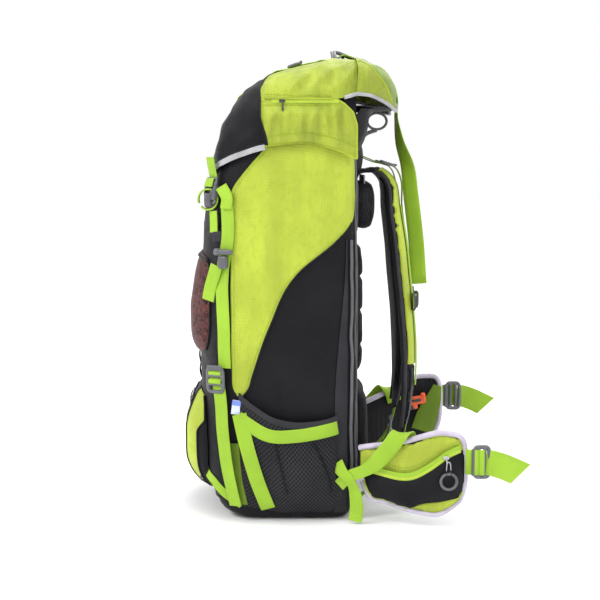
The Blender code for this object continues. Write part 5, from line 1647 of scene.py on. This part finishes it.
def rounded_pad(low, high, front, back, top, bottom, rings=14, around=64):
    """Cushion lying on a plane of constant Y, from back to front, with widths at its top and bottom."""
    middle = (low + high) / 2
    tall = (high - low) / 2
    loops = []
    depth = np.sin(np.linspace(-math.pi / 2, math.pi / 2, rings))
    for d in depth:
        shrink = math.sqrt(max(0.0, 1 - d * d)) ** 0.5
        edge = 0.01 * (1 - shrink)
        y = lerp(back, front, (d + 1) / 2)
        loop = []
        for a in round_angles(around):
            c, s = math.cos(a), math.sin(a)
            v = signed_power(s, 0.45)
            half = lerp(bottom, top, (v + 1) / 2)
            u = signed_power(c, 0.45)
            loop.append((u * (half - edge), y, middle + v * (tall - edge)))
        loops.append(loop)
    return Parts().rings(loops)


def build_back_pads():
    """Frame sheet cover and the three simulated pads that touch the wearer's back."""
    low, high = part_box("frame_sheet")
    z = np.linspace(low.z, high.z, 70)[:, None]
    x = np.linspace(-1.0, 1.0, 60)[None, :]
    wide = (high.x - low.x) / 2 - 0.006 * (1 - smoothstep(0.0, 0.03, np.minimum(z - low.z, high.z - z)))
    grid = BAG.back(x * wide, z + 0.0 * x, 0.0016)
    bag_cloth(grid, NET_CLOTH, "back_cover", "charcoal", "frame_sheet")
    for name, node, top, bottom, fill in (("upper_pad", "upper_back_pad", 1.0, 0.86, 0.7),
                                          ("middle_pad", "back_pad", 0.96, 0.98, 0.5),
                                          ("lumbar_cushion", "lumbar_pad", 0.95, 1.0, 0.7)):
        low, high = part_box(node)
        half = max(-low.x, high.x) - 0.003
        pad = rounded_pad(low.z + 0.003, high.z - 0.003, high.y - 0.0035, low.y + 0.002, half * top,
                          half * bottom)
        piece = pad.piece(name, "air_net", "bag")
        puff(piece, 0.0035)
        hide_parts(node)
        middle = (low.z + high.z) / 2
        tall = high.z - low.z

        def channels(points, low=low, high=high, middle=middle, tall=tall):
            """Sewn channels: two upright and, on a tall pad, three across."""
            depth = smoothstep(low.y + 0.004, high.y, points[:, 1])
            cut = np.zeros(len(points))
            for x in (-0.034, 0.034):
                cut = np.maximum(cut, np.exp(-((points[:, 0] - x) / 0.0042) ** 2))
            if tall > 0.15:
                for z in (middle - 0.052, middle, middle + 0.052):
                    cut = np.maximum(cut, np.exp(-((points[:, 2] - z) / 0.004) ** 2))
            cut *= smoothstep(high.x - 0.004, high.x - 0.026, np.abs(points[:, 0]))
            points[:, 1] -= cut * depth * min(0.005, (high.y - low.y) * 0.35)
            points[:, 1] = np.maximum(points[:, 1], BACK_Y + 0.001)
            return points

        reshape(piece, channels)
        edge = []
        for a in round_angles(120):
            c, s = math.cos(a), math.sin(a)
            v = signed_power(s, 0.45)
            wide = lerp(half * bottom, half * top, (v + 1) / 2)
            edge.append((signed_power(c, 0.45) * (wide + 0.001), low.y + 0.004, middle + v * tall / 2))
        rim = Parts().tube(edge, 0.0021, closed=True, keep=True, sides=6)
        rim.piece(name + "_piping", "tape_grey", "bag")
    # Dark riser panel between the upper pad and the lid.
    z = np.linspace(0.505, 0.577, 24)[:, None]
    x = np.linspace(-0.088, 0.088, 50)[None, :]
    bulge = np.sin(np.pi * np.clip((z - 0.505) / 0.072, 0, 1)) ** 0.6 * (1 - np.abs(x / 0.088) ** 6)
    grid = BAG.back(x + 0.0 * z, np.minimum(z + 0.0 * x, 0.577), 0.003 + 0.0125 * bulge)
    bag_cloth(grid, PACK_CLOTH, "back_riser", "charcoal")
    patch = BAG.back(np.linspace(-0.082, 0.082, 40), 0.506, 0.0165)
    laid_web(patch, (0, 0, 1), 0.015, 0.0018, "back_riser_tape", "tape_silver", "bag")


SHOULDER_PATH = [(0.058, 0.15, 0.52), (0.06, 0.164, 0.519), (0.064, 0.18, 0.503), (0.068, 0.186, 0.46),
                 (0.074, 0.193, 0.41), (0.08, 0.198, 0.36), (0.086, 0.203, 0.31), (0.091, 0.2065, 0.26),
                 (0.095, 0.207, 0.21), (0.098, 0.204, 0.165), (0.1, 0.198, 0.125)]
SHOULDER_WIDTH = [0.05, 0.056, 0.062, 0.066, 0.07, 0.072, 0.072, 0.07, 0.064, 0.052, 0.034]
SHOULDER_THICK = [0.01, 0.012, 0.014, 0.016, 0.018, 0.018, 0.018, 0.018, 0.016, 0.013, 0.008]


def shoulder_frame(side, count):
    """Centre line, across, outward direction, width and thickness of a shoulder strap."""
    route = np.array(SHOULDER_PATH) * (side, 1.0, 1.0)
    line = smooth_path(route, count)
    spots = np.interp(line[:, 2], route[::-1, 2], np.arange(len(route))[::-1])
    first = int(np.argmax(line[:, 2] < 0.5185)) if count > 8 else 0
    spots[:first] = np.linspace(0, spots[first], first) if first else spots[:first]
    width = np.interp(spots, np.arange(len(route)), SHOULDER_WIDTH)
    thick = np.interp(spots, np.arange(len(route)), SHOULDER_THICK)
    along = unit(np.gradient(line, axis=0))
    across = np.tile((side, -0.17, 0.0), (count, 1))
    across = unit(across - along * np.sum(across * along, axis=1, keepdims=True))
    out = np.cross(across, along) * side
    return line, across, out, width, thick


def build_shoulder(word, side):
    """Curved padded shoulder strap: simulated net pad, ripstop face, bound edges and webbing."""
    count = 80
    line, across, out, width, thick = shoulder_frame(side, count)
    loops = []
    for p, a, o, w, t in zip(line, across, out, width - 0.004, thick - 0.003):
        loop = []
        for angle in round_angles(28):
            c, s = math.cos(angle), math.sin(angle)
            u = signed_power(c, 0.7)
            v = signed_power(s, 0.8)
            loop.append(p + a * u * w / 2 + o * v * t / 2)
        loops.append(loop)
    body = "shoulder_" + word
    pad = Parts().rings(loops).piece("shoulder_pad_" + word, "air_net", body)
    puff(pad, 0.002)
    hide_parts("shoulder_strap_" + word)
    surface = surface_of(pad)
    share = np.linspace(-0.9, 0.9, 26)[None, :, None]
    rows = slice(3, 60)
    face = line[rows, None] + across[rows, None] * share * (width[rows, None, None] / 2) + out[rows,
            None] * 0.012
    lift = 0.0012 + 0.001 * np.cos(share[..., 0] * math.pi / 2) + 0.0 * face[..., 0]
    face = laid_on(surface, face, -out[rows, None] + 0.0 * face, lift)
    Parts().sheet(face, 0.001, inside=line[40] - out[40] * 0.1).piece("shoulder_face_" + word, "green",
            body)
    rows = slice(60, 77)
    lower = line[rows, None] + across[rows, None] * share * (width[rows, None, None] / 2) + out[rows,
            None] * 0.012
    lower = laid_on(surface, lower, -out[rows, None] + 0.0 * lower, 0.0014)
    Parts().sheet(lower, 0.001, inside=line[68] - out[68] * 0.1).piece("shoulder_lower_" + word, "black",
            body)
    for tag, end in (("outer", 1.0), ("inner", -1.0)):
        edge = line[2:78] + across[2:78] * end * (width[2:78, None] / 2 - 0.0005)
        Parts().tube(edge, 0.0026, keep=True).piece(f"shoulder_binding_{tag}_{word}", "tape_dark", body)
    thread = Parts()
    for end in (0, -1):
        inset = face[:, 1 if end == 0 else -2]
        thread.stitches(inset + out[3:60] * 0.001, radius=0.0004)
    thread.piece("shoulder_stitching_" + word, "stitch_green", body)
    # Ladder web that carries the chest strap's slider.
    rows = slice(14, 66)
    mid = laid_on(surface, line[rows] + out[rows] * 0.012, -out[rows], 0.0042)
    laid_web(mid, across[rows], 0.015, WEB, "shoulder_web_" + word, "web", body)
    # Lower end: webbing into the ladder lock.
    lock = centre_of("shoulder_lock_" + word)
    down = unit(lock - line[-1])
    ladder("shoulder_ladder_" + word, lock, (side, 0.0, 0.0), -down, 0.031, 0.03, body, bars=(-0.15, 0.18),
           thick=0.0046, node="shoulder_lock_" + word)
    end = [line[72] + out[72] * 0.004, line[78] + out[78] * 0.004,
           lerp(line[-1], lock, 0.6) + out[-1] * 0.002,
           lock + down * -0.004]
    Parts().strap(end, (side, 0, 0), 0.022, count=30).piece("shoulder_end_web_" + word, "web", body)
    yoke = np.array([(0.058, 0.1262, 0.508), (0.058, 0.13, 0.516), (0.058, 0.14, 0.5195),
                     (0.058, 0.1515, 0.52)])
    Parts().strap(yoke * (side, 1, 1), (1, 0, 0), (0.056, 0.05, 0.047), 0.0055,
                  count=24).piece("shoulder_yoke_" + word, "black", "bag")
    build_harness_webs(word, side, lock)
    build_chest_strap(word, side)


def build_harness_webs(word, side, lock):
    """Lower adjustment web and the load lifter, both bending between the bag and the shoulder strap."""
    body = "shoulder_" + word
    route = np.array([(0.13, 0.133, 0.033), (0.124, 0.145, 0.042), (0.11, 0.175, 0.064)]) * (side, 1, 1)
    route = np.vstack([route, [lock + (0.002 * side, -0.004, -0.01), lock + (0, -0.001, -0.001)]])
    web = Parts().strap(route, (1.0, 0.0, 0.0), 0.02, count=50)
    tail = [lock + (0, 0.002, -0.002), lock + (0.001 * side, 0.006, -0.012),
            lock + (0.002 * side, 0.009, -0.036),
            lock + (0.001 * side, 0.008, -0.062)]
    web.strap(tail, (1.0, 0.0, 0.0), 0.0195, count=30, hem=0.008)
    piece = web.piece("harness_web_" + word, "web", None, "lower_strap_" + word)
    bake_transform(piece)
    route = np.array([(0.062, 0.1285, 0.541), (0.062, 0.133, 0.543), (0.064, 0.16, 0.5335),
                      (0.064, 0.188, 0.525),
                      (0.066, 0.1975, 0.505), (0.068, 0.1985, 0.47), (0.07, 0.201, 0.445)]) * (side, 1, 1)
    web = Parts().strap(route, (1.0, 0.0, 0.0), 0.015, count=70)
    # The lifter web is painted in the darkened webbing, as painted shade.
    piece = web.piece("lifter_web_" + word, "web_shaded", None, "load_lifter_" + word)
    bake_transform(piece)
    spot = np.array([0.064 * side, 0.177, 0.531])
    ladder("lifter_ladder_" + word, spot, (1, 0, 0), (0, 0.93, -0.3), 0.024, 0.025, body, thick=0.004)


def build_chest_strap(word, side):
    """Half of the chest strap, its slider on the shoulder strap and half of its buckle."""
    body = "chest_" + word
    low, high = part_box("chest_strap_" + word)
    z = (low.z + high.z) / 2
    outer = max(abs(low.x), abs(high.x))
    inner = min(abs(low.x), abs(high.x))
    y = (low.y + high.y) / 2
    route = [(side * (outer - 0.003), low.y + 0.003, z), (side * (outer - 0.018), y - 0.001, z),
             (side * lerp(inner, outer, 0.4), y + 0.002, z), (side * (inner + 0.012), high.y - 0.003, z)]
    Parts().strap(route, (0, 0, 1), 0.018, count=40).piece("chest_web_" + word, "web", body,
            "chest_strap_" + word)
    at = np.array([side * (inner + 0.008), high.y - 0.003, z])
    axes = axes_of((0, 0, 1), (-side, 0.0, 0.0))
    parts = Parts().box(at, axes, (0.023, 0.024, 0.0075), 0.003)
    parts.tube([at - axes[0] * 0.011 - axes[1] * 0.012, at - axes[0] * 0.011 - axes[1] * 0.018,
                at + axes[0] * 0.011 - axes[1] * 0.018, at + axes[0] * 0.011 - axes[1] * 0.012], 0.0018,
               count=24)
    parts.piece("chest_buckle_" + word, "plastic_dark", body)
    at = np.array(route[0]) + (-side * 0.012, 0.0, 0.0)
    ladder("chest_slider_" + word, at, (0, 0, 1), (side, 0, 0.0), 0.026, 0.023, body, "plastic_dark",
           thick=0.0044)


# ------------------------------------------------------------------ hip belt

WING_STATIONS = np.array([
    (0.13, 0.148, 0.08, 0.114), (0.145, 0.156, 0.043, 0.118), (0.17, 0.166, 0.034, 0.123),
    (0.2, 0.175, 0.025, 0.13), (0.225, 0.179, 0.02, 0.138), (0.245, 0.18, 0.018, 0.143),
    (0.265, 0.179, 0.028, 0.141), (0.28, 0.177, 0.042, 0.134), (0.287, 0.176, 0.054, 0.12)])
WING_THICK = 0.013
POCKET_LINE = [(0.13, 0.085), (0.1573, 0.079), (0.2124, 0.0775), (0.2308, 0.088), (0.2602, 0.108),
               (0.287, 0.118)]
CRESCENT_LINE = [(0.13, 0.05), (0.18, 0.027), (0.1996, 0.025), (0.2161, 0.035), (0.25, 0.041),
                 (0.287, 0.048)]


class Wing:
    """Outer face of a hip wing, by Y and height."""

    def __init__(self, side):
        self.side = side

    def raised(self, y):
        return LEFT_WING_RISE * (y - LEFT_WING_ROOT) if self.side < 0 else 0.0 * y

    def point(self, y, z, out=0.0):
        """A point over the outer face. Heights are those of the right wing."""
        y, z, out = np.broadcast_arrays(np.asarray(y, float), np.asarray(z, float), np.asarray(out, float))
        x = smooth_at(WING_STATIONS[:, 0], WING_STATIONS[:, 1], y)
        return np.stack([self.side * (x + WING_THICK / 2 + out), y, z + self.raised(y)], axis=-1)

    def low(self, y):
        return smooth_at(WING_STATIONS[:, 0], WING_STATIONS[:, 2], y)

    def high(self, y):
        return smooth_at(WING_STATIONS[:, 0], WING_STATIONS[:, 3], y)


def build_wing(word, side):
    """Padded hip wing: simulated net pad inside, ripstop and a zipped black pocket outside."""
    wing = Wing(side)
    body = "wing_" + word
    ys = np.r_[np.linspace(0.1305, 0.15, 8), np.linspace(0.155, 0.275, 24), np.linspace(0.2785, 0.2865, 6)]
    loops = []
    for y in ys:
        x, low, high = smooth_at(WING_STATIONS[:, 0], WING_STATIONS[:, 1:], y)
        low, high = low + 0.002 + float(wing.raised(y)), high - 0.002 + float(wing.raised(y))
        fade = 0.45 + 0.55 * float(smoothstep(0.13, 0.145, y) * smoothstep(0.288, 0.27, y))
        loop = []
        for angle in round_angles(40):
            c, s = math.cos(angle), math.sin(angle)
            u = signed_power(c, 0.8) * (WING_THICK / 2 - 0.0012) * fade
            v = signed_power(s, 0.6)
            loop.append((side * (x + u), y, lerp(low, high, (v + 1) / 2)))
        loops.append(loop)
    pad = Parts().rings(loops).piece("hip_pad_" + word, "air_net", body)
    puff(pad, 0.0018)
    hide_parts("hip_wing_" + word)
    surface = surface_of(pad)
    inward = (-side, 0.0, 0.0)
    y = np.linspace(0.134, 0.2855, 80)[None, :]
    v = np.linspace(0.0, 1.0, 24)[:, None]

    def panel(low, high, lift, name, material, *nodes):
        z = lerp(low, high, v)
        grid = laid_on(surface, wing.point(y + 0.0 * v, z), inward, lift + 0.0 * z)
        waves = np.array([noise.noise(Vector(p))
                          for p in (grid * (26, 26, 40)).reshape(-1, 3)]).reshape(z.shape)
        grid[..., 0] += side * 0.0022 * waves
        return Parts().sheet(grid, CLOTH, inside=(0.0, 0.2, 0.08)).piece(name + word, material, body,
                *nodes)

    zip_line = table_at(POCKET_LINE, y)
    base_line = table_at(CRESCENT_LINE, y)
    panel(zip_line - 0.002, wing.high(y) - 0.003, 0.0022, "hip_top_", "green")
    panel(wing.low(y) + 0.003, base_line + 0.002, 0.0024 + 0.003 * np.sin(np.pi * v), "hip_crescent_",
          "green")
    bulge = (np.sin(np.pi * np.clip((y - 0.142) / 0.14, 0, 1)) ** 0.5) * np.sin(np.pi
            * np.clip(v * 0.94 + 0.03, 0, 1)) ** 0.5
    panel(base_line, zip_line, 0.0024 + 0.0095 * bulge, "hip_pocket_", "black", "wing_pocket_" + word)
    line_y = np.linspace(0.15, 0.278, 60)
    lift = 0.004 + 0.0035 * np.sin(np.pi * (line_y - 0.15) / 0.128)
    zipped = laid_on(surface, wing.point(line_y, table_at(POCKET_LINE, line_y) + 0.001), inward, lift)
    laid_web(zipped, (0, 0, 1), 0.0062, 0.0016, "hip_zip_" + word, "zip_green", body)
    flap = laid_on(surface, wing.point(line_y, table_at(POCKET_LINE, line_y) + 0.0062), inward,
                   lift + 0.0002)
    laid_web(flap, (0, 0, 1), 0.006, 0.0016, "hip_zip_flap_" + word, "web", body)
    seam = laid_on(surface, wing.point(line_y, table_at(CRESCENT_LINE, line_y) + 0.001), inward, 0.004)
    piping(seam, 0.0012, "hip_seam_" + word, "tape_black", body)
    thread = Parts()
    for rise in (0.0125, 0.0165):
        thread.stitches(laid_on(surface, wing.point(line_y, table_at(POCKET_LINE, line_y) + rise), inward,
                                0.0034))
    thread.piece("hip_stitching_" + word, "stitch_green", body)
    build_wing_binding(word, side, wing)
    build_wing_zip_pull(word, side, zipped)
    build_stabiliser(word, side, wing)
    build_belt(word, side)


def build_wing_binding(word, side, wing):
    """Pale binding round the wing's top, front and lower edges."""
    top = [(y, float(wing.high(y)) - 0.0022) for y in np.linspace(0.133, 0.278, 22)]
    nose = [(0.2835, 0.125), (0.2855, 0.112), (0.2862, 0.092), (0.2855, 0.07), (0.2835, 0.057)]
    low = [(y, float(wing.low(y)) + 0.0024) for y in np.linspace(0.278, 0.137, 22)]
    points = []
    for y, z in top + nose + low:
        x = float(smooth_at(WING_STATIONS[:, 0], WING_STATIONS[:, 1], min(y, 0.287)))
        points.append((side * (x + 0.0015), y, z + float(wing.raised(y))))
    parts = Parts().tube(points, 0.0055, count=150, flat=0.8, guide=(1, 0, 0), sides=12)
    parts.piece("hip_binding_" + word, "tape_lilac", "wing_" + word)


def build_wing_zip_pull(word, side, zipped):
    """Metal slider with a silver cord and a ring on it."""
    at = centre_of("wing_zip_slider_" + word)
    spot = zipped[int(np.argmin(np.abs(zipped[:, 1] - at[1] - 0.012)))] + (side * 0.0016, 0, 0)
    body = "wing_zip_" + word
    slider = Parts().box(spot, np.eye(3), (0.0034, 0.009, 0.0052), 0.0014)
    slider.tube([spot + (side * 0.002, 0, -0.001), spot + (side * 0.0035, 0.001, -0.006),
                 spot + (side * 0.003, 0.001, -0.01)], 0.0011, count=12)
    slider.piece("hip_zip_pull_" + word, "metal", body, "wing_zip_slider_" + word)
    drop = spot + (side * 0.0038, 0.0035, -0.008)
    loop = [drop + (0, -0.0014, 0.002), drop + (0, -0.003, -0.006), drop + (side * 0.001, -0.0018, -0.016),
            drop + (side * 0.001, 0.0018, -0.016), drop + (0, 0.003, -0.006), drop + (0, 0.0014, 0.002)]
    Parts().tube(loop, 0.00085, count=50, closed=True).piece("hip_pull_cord_" + word, "tape_silver", body)
    ring = drop + (side * 0.0015, 0.0002, -0.026)
    circle = [ring + (0, 0.0115 * math.cos(a), 0.0115 * math.sin(a)) for a in round_angles(30)]
    Parts().tube(circle, 0.0021, count=50, closed=True).piece("hip_pull_ring_" + word, "tape_grey", body)
    cord = [ring + (side * 0.001, 0.011 * math.cos(a), 0.0115 + 0.006 * math.sin(a))
            for a in round_angles(12)]
    Parts().tube([(p - ring) * (1, 0.35, 1) + ring for p in cord], 0.0009, count=30,
                 closed=True).piece("hip_pull_loop_" + word, "tape_black", body)


def build_stabiliser(word, side, wing):
    """Wide web from the pack's corner over the wing, and its hanging tail."""
    raised = float(wing.raised(0.165))
    route = np.array([(0.161, 0.102, 0.058), (0.165, 0.116, 0.072), (0.174, 0.138, 0.083 + raised * 0.6),
                      (0.184, 0.156, 0.098 + raised), (0.186, 0.176, 0.122 + raised),
                      (0.18, 0.19, 0.1385 + raised), (0.169, 0.2, 0.137 + raised),
                      (0.16, 0.207, 0.118 + raised)]) * (side, 1, 1)
    across = np.array([(0.2 * side, 0.75, -0.6), (0.3 * side, 0.5, -0.8), (0.25 * side, 0.6, -0.75),
                       (0.0, 0.8, -0.6), (0.0, 0.86, -0.5), (0.1 * side, 0.95, -0.2),
                       (0.1 * side, 0.97, 0.1),
                       (0.0, 0.95, 0.3)])
    web = Parts().strap(route, across, (0.018, 0.017, 0.018, 0.024, 0.026, 0.026, 0.026, 0.025), count=90)
    piece = web.piece("stabiliser_web_" + word, "web", None, "stabiliser_strap_" + word)
    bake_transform(piece)
    tail = np.array([(0.159, 0.098, 0.091), (0.164, 0.107, 0.078), (0.1675, 0.117, 0.068),
                     (0.1665, 0.125, 0.05),
                     (0.165, 0.128, 0.024), (0.164, 0.126, 0.0045)]) * (side, 1, 1)
    facing = np.array([(0.1 * side, 0.75, 0.65), (0.2 * side, 0.85, 0.5), (0.3 * side, 0.95, 0.3),
                       (0.3 * side, 0.95, 0.0),
                       (0.3 * side, 0.95, 0.0), (0.3 * side, 0.95, 0.0)])
    Parts().strap(tail, facing, (0.021, 0.016, 0.014, 0.019, 0.0205, 0.0205), count=60,
                  hem=0.009).piece("stabiliser_tail_" + word, "web", "bag")


def build_belt(word, side):
    """Ladder lock and belt webbing at the tip of the wing, with its slant-cut tail."""
    low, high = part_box("hip_buckle_" + word)
    lock = np.array((low + high) / 2)
    body = "belt_" + word
    ladder("hip_ladder_" + word, lock, (0, 0, 1), (side * 0.05, -1.0, 0.0), (high.z - low.z) * 0.99,
           (high.y - low.y) * 0.98, body, bars=(-0.16, 0.16), thick=0.0056, node="hip_buckle_" + word)
    z = lock[2]
    parts = Parts()
    feed = [(side * 0.1835, 0.286, z), (side * 0.188, 0.294, z), (side * 0.19, 0.301, z),
            (side * 0.1885, 0.305, z)]
    parts.strap(feed, (0, 0, 1), BELT_WEB, count=30)
    over = [(side * 0.185, 0.3045, z), (side * 0.1905, 0.307, z), (side * 0.1915, 0.3105, z),
            (side * 0.186, 0.3135, z)]
    parts.strap(over, (0, 0, 1), BELT_WEB, count=24)
    drop = -0.018
    tail = [(side * 0.186, 0.315, z), (side * 0.189, 0.323, z - 0.001),
            (side * 0.1885, 0.34, z + drop * 0.35),
            (side * 0.185, 0.366, z + drop)]
    route = smooth_path(tail, 50)
    parts.strap(route, (0, 0.25, 1), BELT_WEB, keep=True, slant=math.radians(22))
    parts.piece("hip_web_" + word, "web", body, "hip_webbing_" + word)
    sewn = Parts().stitches([(side * 0.1905, 0.2925, z + k) for k in np.linspace(-0.016, 0.016, 6)],
                            pitch=0.0032)
    sewn.piece("hip_web_stitching_" + word, "stitch_green", body)


def build_left_belt_parts():
    """Main buckle half, its orange clip and the web that hangs inside the left wing."""
    lift = LEFT_WING_RISE * (0.25 - LEFT_WING_ROOT)
    web = [(-0.164, 0.28, 0.128 + lift), (-0.16, 0.273, 0.106 + lift), (-0.159, 0.263, 0.08 + lift),
           (-0.16, 0.254, 0.05 + lift)]
    # This web is painted in the darkened webbing, as painted shade.
    Parts().strap(web, (0.05, 0.95, 0.3), (0.014, 0.028, 0.036, 0.038), count=40).piece("belt_inner_web",
            "web_shaded", "wing_left")
    at = np.array([-0.164, 0.222, 0.12 + lift])
    axes = axes_of((0.0, 0.95, -0.3), (0.0, 0.3, 0.95))
    ladder("belt_inner_buckle", at, axes[0], axes[1], 0.03, 0.034, "wing_left", "plastic_dark", thick=0.005)
    Parts().box(at, axes, (0.018, 0.019, 0.003), 0.0013).piece("belt_inner_patch", "web", "wing_left")
    at = np.array([-0.161, 0.245, 0.103 + lift])
    axes = axes_of((0.0, 0.98, 0.15), (0.0, -0.15, 0.98))
    parts = Parts().box(at, axes, (0.027, 0.015, 0.006), 0.0028)
    parts.box(at - axes[0] * 0.006 - axes[1] * 0.009, axes, (0.011, 0.012, 0.0056), 0.0026)
    parts.box(at + axes[0] * 0.011 + axes[1] * 0.003, axes, (0.009, 0.017, 0.0064), 0.003)
    parts.piece("belt_clip_orange", "orange", "wing_left")
    parts = Parts().box(at - axes[0] * 0.001 + axes[2] * 0.003, axes, (0.015, 0.005, 0.003), 0.0014)
    parts.box(at - axes[0] * 0.014 - axes[1] * 0.011, axes, (0.018, 0.009, 0.006), 0.0028)
    parts.piece("belt_clip_dark", "plastic_dark", "wing_left")


# ------------------------------------------------------------------ studio

def build_stage():
    """Pale floor, pale surround, soft lights and the camera at the photograph's angle."""
    world = bpy.data.worlds.new("studio")
    world.use_nodes = True
    world.node_tree.nodes["Background"].inputs["Color"].default_value = (1.0, 1.0, 1.0, 1.0)
    world.node_tree.nodes["Background"].inputs["Strength"].default_value = 1.0
    bpy.context.scene.world = world
    bpy.context.scene.view_settings.view_transform = "Standard"
    mesh = bpy.data.meshes.new("floor")
    wide = FLOOR_HALF
    mesh.from_pydata([(-wide, -wide, 0.0), (wide, -wide, 0.0), (wide, wide, 0.0), (-wide, wide, 0.0)], [],
                     [(0, 1, 2, 3)])
    floor = bpy.data.objects.new("floor", mesh)
    bpy.context.scene.collection.objects.link(floor)
    s = Shader("floor_paper", 0.85)
    s.surface.inputs["Specular IOR Level"].default_value = 0.1
    grain = s.noise(3.0, 2.0)
    mesh.materials.append(s.finish(s.mix(grain, (0.93, 0.93, 0.93), (0.95, 0.95, 0.95)),
                                   s.bump(grain, 0.0001, 0.1)))
    data = bpy.data.lights.new("sky", "SUN")
    data.energy = SKY_POWER
    data.angle = math.radians(SKY_SPREAD)
    bpy.context.scene.collection.objects.link(bpy.data.objects.new("sky", data))
    for name, spot, size, power in LAMPS:
        data = bpy.data.lights.new(name, "AREA")
        data.shape = "DISK"
        data.size = size
        data.energy = power
        lamp = bpy.data.objects.new(name, data)
        lamp.location = spot
        lamp.rotation_euler = (Vector(LAMPS_AIM) - Vector(spot)).to_track_quat("-Z", "Y").to_euler()
        bpy.context.scene.collection.objects.link(lamp)
    data = bpy.data.cameras.new("camera")
    data.sensor_width = SENSOR_WIDTH
    data.lens = CAMERA_LENS
    camera = bpy.data.objects.new("camera", data)
    camera.location = CAMERA_AT
    camera.rotation_euler = (math.radians(90.0 - CAMERA_TILT), 0.0, math.radians(90.0))
    bpy.context.scene.collection.objects.link(camera)
    bpy.context.scene.camera = camera


build_stage()
build_shell()
build_tray()
build_collar()
build_side_panels()
build_side_pockets()
build_front_pockets()
build_lid()
build_crown()
build_edge_chain()
build_haul_loop()
build_hinge_cloth()
build_back_pads()
for word, side in SIDES:
    build_side_release(word, side)
    build_shoulder(word, side)
    build_wing(word, side)
build_left_belt_parts()
